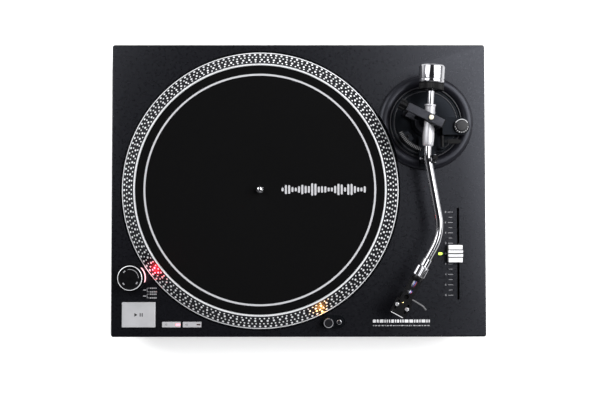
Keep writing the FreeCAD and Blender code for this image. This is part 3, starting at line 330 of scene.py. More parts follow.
def softened(profile, radius):
    """The profile with its corners rounded; points on the axis stay as they are."""
    made = []
    count = len(profile)
    for index, corner in enumerate(profile):
        here = Vector(corner[:2])
        before = Vector(profile[index - 1][:2])
        after = Vector(profile[(index + 1) % count][:2])
        shortest = min((before - here).length, (after - here).length)
        cut = min(radius, 0.42 * shortest)
        if here.x < 1e-6 or cut < 0.02:
            made.append(tuple(corner))
            continue
        start = here + (before - here).normalized() * cut
        stop = here + (after - here).normalized() * cut
        for step in range(ROUND_STEPS + 1):
            t = step / ROUND_STEPS
            point = start * (1 - t) ** 2 + here * 2 * t * (1 - t) + stop * t ** 2
            made.append((point.x, point.y, *corner[2:]))
    return made


def spin_into(bm, profile, where, segments=96, ribs=None):
    """Turn a profile of (radius, height, material) about its own upright into the bmesh.
    ribs is (count, depth, smallest radius) for a grip cut round the widest part."""
    rings = []
    for radius, height, *rest in profile:
        if radius < 1e-6:
            rings.append([bm.verts.new(where @ Vector((0, 0, height)))])
            continue
        ring = []
        for step in range(segments):
            angle = 2 * math.pi * step / segments
            reach = radius
            if ribs and radius >= ribs[2]:
                reach -= ribs[1] * (0.5 - 0.5 * math.cos(ribs[0] * angle))
            point = Vector((reach * math.cos(angle), reach * math.sin(angle), height))
            ring.append(bm.verts.new(where @ point))
        rings.append(ring)
    starts_and_ends_on_axis = len(rings[0]) == 1 and len(rings[-1]) == 1
    for index in range(len(rings) - starts_and_ends_on_axis):
        lower, upper = rings[index], rings[(index + 1) % len(rings)]
        paint_index = profile[index][2] if len(profile[index]) > 2 else 0
        for step in range(segments):
            onward = (step + 1) % segments
            corners = [lower[step % len(lower)], lower[onward % len(lower)],
                       upper[onward % len(upper)], upper[step % len(upper)]]
            corners = list(dict.fromkeys(corners))
            if len(corners) > 2:
                bm.faces.new(corners).material_index = paint_index


def lathe(name, profile, places, looks, body, soft=0.25, segments=96, ribs=None, **more):
    """One piece turned from a profile, at one place or several."""
    bm = bmesh.new()
    for where in [places] if isinstance(places, Matrix) else places:
        spin_into(bm, softened(profile, soft) if soft else profile, where, segments, ribs)
    return piece_of(name, bm, looks, body, **more)


def prism_into(bm, outline, bottom, top, where):
    """An upright solid on a closed outline, in the frame's own millimetres."""
    low = [bm.verts.new(where @ Vector((x, y, bottom))) for x, y in outline]
    high = [bm.verts.new(where @ Vector((x, y, top))) for x, y in outline]
    bm.faces.new(high)
    bm.faces.new(list(reversed(low)))
    for index in range(len(outline)):
        onward = (index + 1) % len(outline)
        bm.faces.new([low[index], low[onward], high[onward], high[index]])


def rounded_box(x, y, half_x, half_y, radius, steps=6):
    """The outline of a rectangle with round corners."""
    outline = []
    for side_x, side_y, start in ((1, 1, 0), (-1, 1, 90), (-1, -1, 180), (1, -1, 270)):
        for step in range(steps + 1):
            angle = math.radians(start + 90 * step / steps)
            outline.append((x + side_x * (half_x - radius) + radius * math.cos(angle),
                            y + side_y * (half_y - radius) + radius * math.sin(angle)))
    return outline


def ring_part(inner, outer, start, stop, steps):
    """The outline of part of a flat ring, between two angles in degrees."""
    angles = [math.radians(start + (stop - start) * step / steps) for step in range(steps + 1)]
    out = [(outer * math.cos(angle), outer * math.sin(angle)) for angle in angles]
    back = [(inner * math.cos(angle), inner * math.sin(angle)) for angle in reversed(angles)]
    return out + back


BEVEL_ANGLE = 38


def bevelled(piece, width):
    """Round the piece's sharp edges by so many millimetres."""
    edge = piece.modifiers.new("edges", "BEVEL")
    edge.width = width * MM
    edge.segments = 2
    edge.limit_method = "ANGLE"
    edge.angle_limit = math.radians(BEVEL_ANGLE)
    edge.harden_normals = True
    return piece


def prism(name, outlines, bottom, top, where, look, body, bevel=0.0, **more):
    bm = bmesh.new()
    for outline in outlines:
        prism_into(bm, outline, bottom, top, where)
    piece = piece_of(name, bm, look, body, **more)
    return bevelled(piece, bevel) if bevel else piece


PRINT_THICK = 0.04
TYPE_SIZE = 1.38


def print_on(name, outlines, level, where, look, body):
    """Ink on a flat face: thin closed shapes standing on the level."""
    return prism(name, outlines, level, level + PRINT_THICK, where, look, body)


def lettering(name, items, level, where, look, body):
    """Numbers and signs printed on a flat face. items are (text, x, y, height in mm)."""
    bm = bmesh.new()
    for text, x, y, tall in items:
        curve = bpy.data.curves.new(name, "FONT")
        curve.body = text
        curve.size = tall * TYPE_SIZE
        curve.align_x = "CENTER"
        curve.align_y = "CENTER"
        curve.extrude = PRINT_THICK / 2
        writer = bpy.data.objects.new(name, curve)
        flat = bpy.data.meshes.new_from_object(writer)
        flat.transform(where @ Matrix.Translation((x, y, level + PRINT_THICK / 2)))
        bm.from_mesh(flat)
        bpy.data.objects.remove(writer)
        bpy.data.meshes.remove(flat)
    bmesh.ops.remove_doubles(bm, verts=bm.verts, dist=1e-7)
    return piece_of(name, bm, look, body)


def tube(name, points, radius, look, body, where=WORLD, sides=20, **more):
    """A round bar along points, with closed, slightly rounded ends."""
    path = [where @ Vector(point) for point in points]
    bm = bmesh.new()
    radius *= MM
    ahead = (path[1] - path[0]).normalized()
    side = ahead.orthogonal().normalized()
    rings = []
    last = len(path) - 1
    for index, point in enumerate(path):
        onward = (path[min(index + 1, last)] - path[max(index - 1, 0)]).normalized()
        side = (side - onward * side.dot(onward)).normalized()
        other = onward.cross(side)
        sizes = [(0.0, 1.0)]
        if index == 0:
            sizes = [(0.0, 0.75), (0.25, 1.0)]
        if index == last:
            sizes = [(-0.25, 1.0), (0.0, 0.75)]
        for along, share in sizes:
            ring = []
            for step in range(sides):
                angle = 2 * math.pi * step / sides
                out = side * math.cos(angle) + other * math.sin(angle)
                ring.append(bm.verts.new(point + onward * along * radius + out * radius * share))
            rings.append(ring)
    for lower, upper in zip(rings, rings[1:]):
        for step in range(sides):
            onward = (step + 1) % sides
            bm.faces.new([lower[step], lower[onward], upper[onward], upper[step]])
    bm.faces.new(list(reversed(rings[0])))
    bm.faces.new(rings[-1])
    return piece_of(name, bm, look, body, **more)


def curved(points, steps=10):
    """A smooth line through points (Catmull-Rom)."""
    ends = [Vector(point) for point in points]
    ends = [ends[0] * 2 - ends[1], *ends, ends[-1] * 2 - ends[-2]]
    made = []
    for before, start, stop, after in zip(ends, ends[1:], ends[2:], ends[3:]):
        for step in range(steps):
            t = step / steps
            made.append(0.5 * (2 * start + (stop - before) * t
                               + (2 * before - 5 * start + 4 * stop - after) * t ** 2
                               + (3 * start - before - 3 * stop + after) * t ** 3))
    return made + [ends[-2]]


def carved(piece, *cutters):
    """Cut other meshes out of a piece, for good."""
    return combined(piece, "DIFFERENCE", cutters)


def combined(piece, operation, others):
    for other in others:
        tool = piece.modifiers.new("boolean", "BOOLEAN")
        tool.object = other
        tool.operation = operation
        tool.solver = "EXACT"
    bpy.context.view_layer.update()
    seen = piece.evaluated_get(bpy.context.evaluated_depsgraph_get())
    mesh = bpy.data.meshes.new_from_object(seen)
    piece.modifiers.clear()
    piece.data = mesh
    mesh.polygons.foreach_set("use_smooth", [True] * len(mesh.polygons))
    mesh.set_sharp_from_angle(angle=math.radians(SHARP_ANGLE))
    for other in others:
        bpy.data.objects.remove(other)
    return piece


def joined(piece, *others):
    """Add other meshes to a piece, for good."""
    return combined(piece, "UNION", others)


def refined(node, look, bevel):
    """The CAD node's own shape, with its flats merged and its edges rounded."""
    source = frame["nodes"][node]
    bm = bmesh.new()
    corners = [bm.verts.new(vertex.co) for vertex in source.data.vertices]
    for face in source.data.polygons:
        bm.faces.new([corners[index] for index in face.vertices])
    bmesh.ops.remove_doubles(bm, verts=bm.verts, dist=2e-6)
    bmesh.ops.dissolve_limit(bm, angle_limit=math.radians(0.4), verts=bm.verts, edges=bm.edges)
    slots = {row["node"]: row["material_slot"] for row in frame["record"]["subparts"]}
    piece = piece_of(f"{node}_shape", bm, look, source["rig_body"], slot=slots[node], stands_for=node)
    return bevelled(piece, bevel) if bevel else piece


def dress(node, look):
    """Give a CAD node that stays a better material."""
    mesh = frame["nodes"][node].data
    mesh.materials.clear()
    mesh.materials.append(LOOKS[look])


# ---------------------------------------------------------------- plinth and what is inside it

KEPT = {
    "cover_screws": "zinc", "motor_base": "motor", "stator": "copper", "bearing_bush": "bronze",
    "main_board": "board", "transformer": "iron", "control_board": "board", "rotor_magnet": "ferrite",
    "pitch_pot": "black", "tilt_bearings": "zinc", "tilt_screws": "zinc", "weight_bush": "black",
}
REFINED = {"top_cover": ("paint", 0.15), "bottom_cover": ("tray", 0.4), "jack_panel": ("sheet", 0.2),
           "rca_jacks": ("gilt", 0.3), "usb_socket": ("zinc", 0.2), "mains_inlet": ("socket", 0.3),
           "output_switch": ("black", 0.3), "ground_nut": ("gilt", 0.2), "arm_bracket": ("base_disc", 0.4),
           "bearing_bridge": ("bridge", 1.4), "bridge_caps": ("black", 1.2), "lift_housing": ("black", 0.3),
           "antiskate_housing": ("base_disc", 0.5), "gimbal_ring": ("base_disc", 0.6),
           "rest_clip": ("black", 0.3), "cue_lever": ("black", 0.5), "cartridge": ("cartridge", 0.4),
           "stylus": ("cartridge", 0.2), "strobe_housing": ("black", 0.4),
           "strobe_window": ("strobe_lens", 0.15), "light_plate": ("base_disc", 0.15),
           "target_lamp": ("chrome", 0.0), "finger_lift": ("groove", 0.0), "arm_post": ("base_disc", 0.4), }


def make_plain_pieces():
    for node, look in KEPT.items():
        dress(node, look)
    for node, (look, bevel) in REFINED.items():
        refined(node, look, bevel)


def make_feet():
    profile = [(0, 0), (21, 0), (24, 2), (24, 8), (20.5, 10), (20.5, 13), (27, 15.5), (27, 24), (0, 24)]
    places = [at(x, y) for x in (-185, 185) for y in (-135, 135)]
    lathe("feet", profile, places, "rubber", "plinth", 0.8, 72, slot="foot_rubber",
          stands_for="rubber_feet")


# ---------------------------------------------------------------- platter

LIP_RADIUS = 150.6
LIP_TOP = 100.6
BEVEL_FOOT = (165.0, 87.2)
DOT_SIDES = 12
DOT_STRETCH = 1.25
DOT_ROWS = ((160, 163.0, 1.3), (216, 159.5, 0.95), (133, 156.0, 1.3), (180, 153.0, 0.95))
MAT_TOP = 101.35


def make_platter():
    deck, bevel, rim = 0, 1, 2
    profile = [(4.0, 98.8, deck), (148.2, 98.8, rim), (148.6, 100.6, rim), (LIP_RADIUS, LIP_TOP, bevel),
               (*BEVEL_FOOT, rim), (166, 86.6, rim), (166, 80, deck), (161, 80, deck), (161, 85, deck),
               (149, 95.3, deck), (24, 95.3, deck), (20, 91, deck), (14, 86, deck), (14, 82, deck),
               (4.0, 82, deck)]
    lathe("platter_casting", profile, PLATTER, ("deck", "bevel", "rim"), "platter", 0.12, 360,
          slot="cast_platter", stands_for="platter")
    spindle = [(0, 52.6), (4, 52.6), (4, 101.25), (3.6, 101.25), (3.6, 109), (3.3, 110.4), (2.4, 111.5),
               (1.1, 111.95), (0, 112)]
    lathe("record_spindle", spindle, PLATTER, "steel", "platter", 0.2, 48, slot="spindle_steel",
          stands_for="spindle")


def make_dots():
    """The strobe dots: low domes on the bevel, in four rows."""
    run = BEVEL_FOOT[0] - LIP_RADIUS
    fall = LIP_TOP - BEVEL_FOOT[1]
    length = math.hypot(run, fall)
    down = (run / length, -fall / length)
    out = (fall / length, run / length)
    bm = bmesh.new()
    for count, radius, half in DOT_ROWS:
        height = LIP_TOP - (radius - LIP_RADIUS) * fall / run
        for index in range(count):
            turn = 2 * math.pi * index / count
            ray = Vector((math.cos(turn), math.sin(turn), 0))
            across = Vector((-math.sin(turn), math.cos(turn), 0))
            along = ray * down[0] + Vector((0, 0, down[1]))
            normal = ray * out[0] + Vector((0, 0, out[1]))
            middle = ray * radius + Vector((0, 0, height))
            rings = []
            for share, rise in ((1.0, -0.1), (1.0, 0.06), (0.72, 0.2)):
                ring = []
                for step in range(DOT_SIDES):
                    angle = 2 * math.pi * step / DOT_SIDES
                    offset = across * math.cos(angle) + along * (math.sin(angle) * DOT_STRETCH)
                    ring.append(bm.verts.new(PLATTER @ (middle + offset * (half * share) + normal * rise)))
                rings.append(ring)
            tip = bm.verts.new(PLATTER @ (middle + normal * 0.25))
            for lower, upper in zip(rings, rings[1:]):
                for step in range(DOT_SIDES):
                    onward = (step + 1) % DOT_SIDES
                    bm.faces.new([lower[step], lower[onward], upper[onward], upper[step]])
            for step in range(DOT_SIDES):
                bm.faces.new([rings[-1][step], rings[-1][(step + 1) % DOT_SIDES], tip])
            bm.faces.new(list(reversed(rings[0])))
    piece_of("strobe_dots", bm, "dots", "platter", slot="cast_platter", sharp=60)


def make_mat():
    profile = [(4.3, 98.85), (148, 98.85), (148, MAT_TOP), (4.3, MAT_TOP)]
    mat = lathe("slipmat_felt", profile, PLATTER, "felt", "mat", 0.7, 240, slot="felt",
                stands_for="slipmat")
    ring = [(135.9, MAT_TOP), (138.1, MAT_TOP), (138.1, MAT_TOP + PRINT_THICK),
            (135.9, MAT_TOP + PRINT_THICK)]
    lathe("mat_ring_print", ring, PLATTER, "mat_print", "mat", 0, 300)
    bars = []
    for index in range(26):
        tall = 2.2 + 5.6 * abs(math.sin(index * 0.83) * math.cos(index * 0.31 + 0.4))
        bars.append(rounded_box(27 + index * 3.9, 0, 1.2, tall, 1.15, 5))
    print_on("mat_bars_print", bars, MAT_TOP, PLATTER, "mat_print", "mat")


# ---------------------------------------------------------------- arm base


def make_arm_base():
    # Material index 1 gives the raised ring lines on the plate and the collar's inner lip a painted
    # highlight in lighter grey.
    ridge = 1
    plate = [(12, 78, 0), (37.8, 78, 0), (37.8, 84, 0), (41.4, 84, 0), (41.4, 85.4, 0), (40.9, 85.9, 0),
             (38.9, 85.9, 0), (38.7, 85.3, 0), (38.2, 85.3, ridge), (38.1, 86.1, ridge),
             (37.4, 86.1, ridge), (37.3, 85.3, 0), (36.7, 85.3, 0), (36.5, 86, 0), (12, 86, 0)]
    lathe("base_plate_disc", plate, at(*PIVOT), ("base_disc", "ridge"), "plinth", 0.1, 144,
          slot="base_disc", stands_for="arm_base_plate")
    inner, outer, foot, rise = 43.4, 57, 85.4, 5.1
    middle, half = (outer + inner) / 2, (outer - inner) / 2
    dome = []
    for step in range(1, 24):
        across = math.cos(math.pi * step / 24)
        dome.append((middle + half * across, foot + rise * (1 - abs(across) ** 2.4) ** 0.62, 0))
    crown = [(41.8, 84, 0), (outer, 84, 0), (outer, foot, 0), *dome, (inner, foot + 1.6, 0),
             (inner - 0.2, 87.6, ridge), (42.8, 88.2, ridge), (42.2, 88.2, 0), (41.8, 87.6, 0)]
    collar = lathe("base_collar_ring", crown, at(*PIVOT), ("collar_ring", "ridge"), "plinth", 0.1, 180,
                   slot="base_collar", stands_for="arm_base_collar")
    cutter = lathe("collar_cutter", [(0, 80), (169.2, 80), (169.2, 95), (0, 95)], PLATTER, "paint",
                   "plinth", 0, 360)
    carved(collar, cutter)


def make_pivot():
    nut = [(3.5 * math.cos(math.radians(60 * k)), 3.5 * math.sin(math.radians(60 * k))) for k in range(6)]
    prism("pivot_nut", [nut], 16.2, 17.4, BRIDGE, "base_disc", "plinth", 0.25, slot="chrome",
          stands_for="pivot_screw")
    screw = [(0, 11.35), (0.7, 11.35), (1.8, 12.4), (1.8, 17.4), (2.9, 17.4), (2.9, 19.4), (2.4, 20),
             (0, 20)]
    head = lathe("pivot_screw_head", screw, BRIDGE, "pale_brass", "plinth", 0.2, 40, slot="chrome")
    groove = prism("pivot_groove", [rounded_box(0, 0, 4, 0.3, 0.1, 1)], 19.4, 21, BRIDGE, "pale_brass",
                   "plinth")
    carved(head, groove)


def make_lift():
    """The ribbed rest of the cue lift, its web and the screw that holds it."""
    at_pivot = at(*PIVOT)
    ribs = [ring_part(34.2, 37.9, 204 + 3.3 * k, 205.1 + 3.3 * k, 1) for k in range(16)]
    # The ribs are drawn lighter than the band: a painted highlight on dark ribs.
    prism("lift_band_ribs", ribs, 118.4, 119.1, at_pivot, "rib", "cue_lift", 0.12, slot="black_plastic")
    band = prism("lift_band", [ring_part(33.2, 38.4, 203, 257, 36)], 114.8, 118.5, at_pivot, "band",
                 "cue_lift", 0.4, slot="black_plastic", stands_for="lift_platform")
    prism("lift_web", [ring_part(27.4, 33.6, 207, 231, 16)], 112.6, 115, at_pivot, "base_disc", "cue_lift",
          0.3, slot="black_plastic")
    angle = math.radians(218)
    place = at(PIVOT[0] + 30.5 * math.cos(angle), PIVOT[1] + 30.5 * math.sin(angle))
    lathe("lift_shaft", [(0, 95), (2, 95), (2, 112.8), (0, 112.8)], place, "steel", "cue_lift", 0.3, 32,
          slot="black_plastic")
    lathe("lift_screw", [(0, 114.8), (1.9, 114.8), (1.9, 116), (1.3, 116.5), (0, 116.6)], place, "black",
          "cue_lift", 0.2, 32, slot="zinc_screw")


def make_rest_pins():
    """The bright hinge pin of the arm rest's clip and the stud that it catches on."""
    hinge = [(0, 0), (1.5, 0), (1.5, 0.8), (1, 0.9), (1, 8.2), (1.5, 8.3), (1.5, 9.1), (0, 9.1)]
    lathe("clip_hinge_pin", hinge, at(158.6, 30.2, 129.2, 0, "back"), "silver", "plinth", 0.15, 32,
          slot="zinc_screw")
    stud = [(0, 0), (0.8, 0), (0.8, 2.2), (1.5, 2.4), (1.5, 3.2), (0, 3.2)]
    lathe("clip_stud", stud, at(145.6, 35.6, 117.4, 0, "left"), "silver", "plinth", 0.15, 32,
          slot="zinc_screw")


def make_antiskate():
    """The force dial: a printed skirt with a raised cap."""
    place = at(192.5, 74.7)
    skirt = 112.4
    knob = [(0, 100), (3, 100), (3, 107.3), (8.7, 107.3), (8.7, 111.9), (8.4, skirt), (6.5, skirt),
            (6.2, 113.3), (5.6, 113.8), (0, 113.8)]
    lathe("antiskate_dial", knob, place, "dial_grey", "skate_knob", 0.15, 160, (40, 0.3, 8.6),
          slot="black_plastic", stands_for="antiskate_knob")
    marks = [ring_part(7.55, 8.1, 28, 152, 30)]
    marks += [ring_part(6.9, 8.2, angle - 1.7, angle + 1.7, 2) for angle in range(190, 351, 20)]
    print_on("antiskate_scale", marks, skirt, place, "white_print", "skate_knob")


# ---------------------------------------------------------------- arm


TUBE_RADIUS = 4.5
TUBE_BENDS = (44, 56)


def s_path():
    """The arm tube's centre line: straight runs and tangent arcs, in millimetres."""
    corners = [at_arm(-12), at_arm(-42.3), Vector((166.6, -51.9, ARM_LEVEL)),
               (SHELL @ Vector((0, 8.6, 0))) / MM]
    points = [corners[0]]
    for before, corner, after, radius in zip(corners, corners[1:], corners[2:], TUBE_BENDS):
        back = (before - corner).normalized()
        ahead = (after - corner).normalized()
        half = (math.pi - back.angle(ahead)) / 2
        reach = radius * math.tan(half)
        centre = corner + (back + ahead).normalized() * (radius / math.cos(half))
        enter = corner + back * reach - centre
        leave = corner + ahead * reach - centre
        points += [points[-1].lerp(centre + enter, step / 6) for step in range(1, 6)]
        for step in range(25):
            done = 2 * half * step / 24
            blended = enter * math.sin(2 * half - done) + leave * math.sin(done)
            points.append(centre + blended / math.sin(2 * half))
    return points + [points[-1].lerp(corners[-1], step / 6) for step in range(1, 7)]


def at_arm(along):
    return (ARM @ Vector((0, along, 0))) / MM


def make_arm():
    tube("arm_s_tube", s_path(), TUBE_RADIUS, "chrome", "arm", sides=48, slot="bright_tube",
         stands_for="arm_tube")
    behind = ARM @ LEANS["back"]
    barrel = [(4.1, -32), (5.1, -32), (6.2, -30.4), (6.6, -27), (6.8, -22), (6.7, -16), (6.2, -11.5),
              (5.9, -9), (5.9, 14.8), (6.5, 15.3), (6.5, 16.8), (6.2, 17.2), (4.05, 17.2)]
    lathe("housing_barrel", barrel, behind, "silver", "arm", 0.3, 96, slot="satin_silver",
          stands_for="arm_housing")
    lathe("stub_rod", [(0, 8), (4, 8), (4, 61), (0, 61)], behind, "chrome", "arm", 0.5, 48, slot="chrome",
          stands_for="rear_stub")
    weight = [(6.05, 34.6), (8, 34.6), (8, 42), (14.2, 42), (15.2, 43), (15.2, 45.6), (14.9, 45.9),
              (14.9, 46.4), (15.2, 46.7), (15.2, 61.4), (14.2, 62.8), (10.5, 63), (10, 62.6), (6.05, 62.6)]
    lathe("weight_body", weight, behind, "chrome", "weight", 0.3, 120, slot="chrome",
          stands_for="counterweight")
    dial = [(8.05, 34), (13.9, 34), (14.5, 34.8), (14.5, 41), (14.1, 41.6), (8.05, 41.6)]
    lathe("dial_grip", dial, behind, "black", "dial", 0.2, 240, (48, 0.45, 14.3), slot="black_plastic",
          stands_for="dial_ring")


def make_headshell():
    collar = [(4.55, 0.3), (6.4, 0.3), (7, 0.9), (7, 12.3), (6.4, 13), (5.7, 13.5), (5.6, 22.8),
              (5.2, 23.4), (4.55, 23.4)]
    lathe("collar_grip", collar, SHELL @ LEANS["back"], "chrome", "collar", 0.15, 180, (30, 0.35, 6.9),
          slot="chrome", stands_for="locking_collar")
    places = [SHELL @ Matrix.Translation((side * 6.35, -39.7, -8)) for side in (-1, 1)]
    screw = [(0, 0), (1.25, 0), (1.25, 9.5), (2.3, 9.5), (2.3, 10.9), (1.7, 11.6), (0, 11.6)]
    heads = lathe("shell_screws", screw, places, "zinc", "arm", 0.15, 36, slot="zinc_screw",
                  stands_for="cartridge_screws")
    grooves = prism("shell_grooves", [rounded_box(side * 6.35, -39.7, 0.35, 3, 0.1, 1) for side in (-1, 1)],
                    3.0, 4.5, SHELL, "zinc", "arm")
    carved(heads, grooves)
    make_shell_plate()
    make_shell_wires()


def make_shell_plate():
    """The headshell: plug, neck and front plate, with its openings cut through."""
    top, bottom = 1.5, -2.5
    neck = rounded_box(0, -17.5, 6.75, 15.5, 0.8, 3)
    front = rounded_box(0, -41.75, 9.75, 9.75, 1.5, 5)
    plate = prism("shell_plate", [neck], bottom, top, SHELL, "shell", "arm", slot="shell_black",
                  stands_for="headshell")
    joined(plate, prism("shell_front", [front], bottom, top, SHELL, "shell", "arm"))
    slots = [rounded_box(side * 6.35, -40, 1.4, 6, 1.35, 6) for side in (-1, 1)]
    holes = [rounded_box(0, -9.6, 3.1, 4.6, 2.9, 8), rounded_box(0.5, -20.2, 3.3, 3.3, 3.25, 10),
             rounded_box(-0.6, -27.4, 2.9, 2.9, 2.85, 10)]
    for outline in slots + holes:
        carved(plate, prism("cutter", [outline], bottom - 1, top + 1, SHELL, "shell", "arm"))
    bevelled(plate, 0.3)
    root = [(0, -8.4), (4.4, -8.4), (4.4, 0), (6.2, 0.1), (6.2, 2.3), (5.6, 2.4), (5.2, 4.6), (0, 4.6)]
    lathe("shell_plug", root, SHELL @ LEANS["front"], "shell", "arm", 0.3, 64, slot="shell_black")
    lathe("shell_rivet", [(0, top), (1.1, top), (1.1, top + 0.15), (0.7, top + 0.3), (0, top + 0.3)],
          SHELL @ Matrix.Translation((-1.3, -35.4, 0)), "gilt", "arm", 0.05, 24)
    # A white line along the headshell's front edge: a painted highlight where the edge catches the light,
    # drawn as print.
    line = [rounded_box(-0.6, -50.7, 7.8, 0.34, 0.3, 3)]
    print_on("shell_front_highlight", line, top, SHELL, "white_print", "arm")


def make_shell_wires():
    """Four leads from the plug's pins, looped up through the openings, to the cartridge's pins."""
    lanes = (("white", -2.0, -3, -12), ("lilac", -0.7, -3, -7), ("blue", 0.6, 3, -7), ("red", 1.9, 3, -12))
    for name, lane, pin, depth in lanes:
        loop = 0.55 * lane + 0.6
        path = [(lane, -5.6, -0.2), (lane * 0.9, -9.5, 0.4), (lane * 0.8, -12.4, -1.4), (lane, -14.6, -3.4),
                (lane, -16.2, -3.3), (loop, -18.4, -1.2), (loop + 0.3, -20.2, 0.3), (loop, -21.9, -1.2),
                (loop, -21.6, -4.2), (pin * 0.8, -18.6, depth / 2 - 2.5), (pin, -16.8, depth + 0.6),
                (pin, -18, depth), (pin, -20.4, depth)]
        tube(f"shell_lead_{name}", curved(path, 6), 0.42, f"{name}_wire", "arm", SHELL, 12)


# ---------------------------------------------------------------- controls


def make_buttons():
    body = "start_button"
    start = prism("start_button_cap", [rounded_box(-191.4, -149.2, 20, 15, 0.8, 4)], 79, 87, WORLD,
                  "button", body, 0.6, slot="button_silver", stands_for="start_stop_button")
    play = [(-196.4, -147), (-196.4, -151.4), (-192.6, -149.2)]
    pause = [rounded_box(x, -149.2, 0.6, 2.1, 0.15, 2) for x in (-189.4, -187)]
    print_on("start_button_sign", [play, *pause], 87, WORLD, "dark_print", body)
    for name, across in (("33", -152.3), ("45", -127.6)):
        body = f"speed_{name}"
        prism(f"speed_{name}_cap", [rounded_box(across, -161, 11.05, 3.3, 0.6, 4)], 79, 86, WORLD, "button",
              body, 0.4, slot="button_silver", stands_for=f"speed_{name}_button")
        light = "red_light" if name == "33" else "dark_light"
        lens = rounded_box(across + 8, -161, 2.3, 1.3 if name == "33" else 0.8, 0.5, 4)
        prism(f"speed_{name}_lamp", [lens], 85.8, 86.15, WORLD, light, body, 0.1)
        lettering(f"speed_{name}_number", [(name, across - 6.4, -161, 2.4)], 86, WORLD, "dark_print", body)


def make_power():
    place = at(-199.5, -104.8)
    rim, top = 1, 0
    knob = [(0, 92, top), (3, 92, top), (3, 99.3, top), (14.8, 99.3, top), (14.8, 103.3, rim),
            (14.2, 104, rim), (13.7, 104, top), (13.4, 103.5, top), (12.2, 103.3, top), (0, 103.3, top)]
    lathe("power_dial", knob, place, ("black", "rim"), "power", 0.2, 240, (60, 0.35, 14.7),
          slot="black_plastic", stands_for="power_knob")
    marks = [ring_part(10, 10.45, 0, 104, 24)]
    for middle in (131, 222, -35):
        marks += [ring_part(9.3, 10.8, middle + 5.5 * k - 2, middle + 5.5 * k + 2, 2) for k in (-1, 0, 1)]
    print_on("power_marks", marks, 103.3, place, "grey_print", "power")


def make_lamp():
    lens = [(0, 87.05), (3.4, 87.05), (3.4, 95), (2.4, 97), (0, 97.4)]
    lathe("lamp_bulb", lens, at(35.4, -158.3), "amber_lens", "lamp", 0.5, 36, slot="amber_lens",
          stands_for="lamp_lens")
    button = [(0, 79), (3.15, 79), (3.15, 86.8), (2.5, 87.4), (0, 87.6)]
    lathe("lamp_button_cap", button, at(48.5, -158), "chrome", "lamp_button", 0.3, 40, slot="chrome",
          stands_for="lamp_button")


def make_prints():
    """The pitch scale, the legends and the small lamp beside the slot."""
    level = PLINTH_TOP
    ticks = []
    numbers = []
    for index in range(-8, 9):
        back = -76.3 + 6.23 * index
        long = index % 2 == 0
        half = 3.1 if long else 2.3
        ticks.append(rounded_box(182.5, back, half, 0.22, 0.2, 1))
        if long:
            numbers.append((str(abs(index)), 176.6, back, 2.4))
    print_on("pitch_ticks", ticks, level, WORLD, "grey_print", "plinth")
    lettering("pitch_numbers", numbers, level, WORLD, "grey_print", "plinth")
    rows = []
    for middle in (-119.7, -126.9):
        rows.append(rounded_box(-184.6, middle, 1.9, 0.55, 0.2, 1))
        rows.append(rounded_box(-181.6, middle, 0.25, 2.4, 0.1, 1))
        for y in (middle + 2.2, middle - 2.2):
            rows.append(rounded_box(-180.5, y, 1.1, 0.25, 0.1, 1))
            rows += [rounded_box(-177.6 + 2.2 * k, y, 0.8, 0.75, 0.2, 1) for k in range(4)]
    print_on("power_legend", rows, level, WORLD, "grey_print", "plinth")
    random.seed(7)
    for name, y, tall, widths, look in (("front_legend_upper", -157, 1.8, (1.6, 2.4, 3.4, 4.6),
                                         "white_print"), ("front_legend_lower", -162.4, 0.6, (1.2, 1.8,
                                                                                              2.8),
                                                          "grey_print")):
        cursor = 89.0
        words = []
        while cursor < 158:
            wide = random.choice(widths)
            words.append(rounded_box(cursor + wide / 2, y, wide / 2, tall, 0.4, 3))
            cursor += wide + 1.1
        print_on(name, words, level, WORLD, look, "plinth")
    prism("pitch_lamp", [rounded_box(170.1, -76.4, 2.5, 1.5, 1.4, 6)], 83.5, 84.8, WORLD, "green_light",
          "plinth", 0.4)


def make_fader():
    """The pitch fader's cap: four ribs on a block, the middle pair standing proud."""
    low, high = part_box("fader_knob")
    across = (low[0] + high[0]) / 2 / MM
    half = (high[0] - low[0]) / 2 / MM
    back = (low[1] + high[1]) / 2 / MM
    # Block and stem belong to the white cap; their dark grey is painted shade in the grooves between the
    # ribs and down in the slot.
    base = [rounded_box(across, back, half - 0.3, 10.1, 0.6, 4)]
    prism("fader_block", base, 85, 92.6, WORLD, "groove", "fader", 0.3, slot="fader_white",
          stands_for="fader_knob")
    prism("fader_stem", [rounded_box(across + 4.7, back, 0.95, 4, 0.3, 2)], 73, 85.5, WORLD, "groove",
          "fader", slot="fader_white")
    for name, middle, deep, wide, top in (("rear", 7.65, 2.7, half - 0.4, 95.2),
                                          ("upper", 2.3, 1.6, half, 96), ("lower", -2.3, 1.6, half, 96),
                                          ("front", -7.65, 2.7, half - 0.4, 95.2)):
        outline = [rounded_box(across, back + middle, wide, deep, 0.5, 4)]
        prism(f"fader_rib_{name}", outline, 92.3, top, WORLD, "fader", "fader", 0.45, slot="fader_white")


# ---------------------------------------------------------------- room, lights and camera


FLOOR_GLOW = 0.55
WALLS_BRIGHT_TO = 0.2
WALLS_DARK_FROM = 0.34


def make_floor():
    bm = bmesh.new()
    bmesh.ops.create_grid(bm, x_segments=1, y_segments=1, size=4)
    mesh = bpy.data.meshes.new("floor")
    bm.to_mesh(mesh)
    bm.free()
    look = Look("pale_floor", (0.93, 0.93, 0.93), 0.8, Specular_IOR_Level=0.1, Emission_Color=(1, 1, 1, 1),
                Emission_Strength=FLOOR_GLOW)
    mesh.materials.append(look.shade(look.noise(3, 2), 0.01).made)
    floor = bpy.data.objects.new("floor", mesh)
    scene.collection.objects.link(floor)


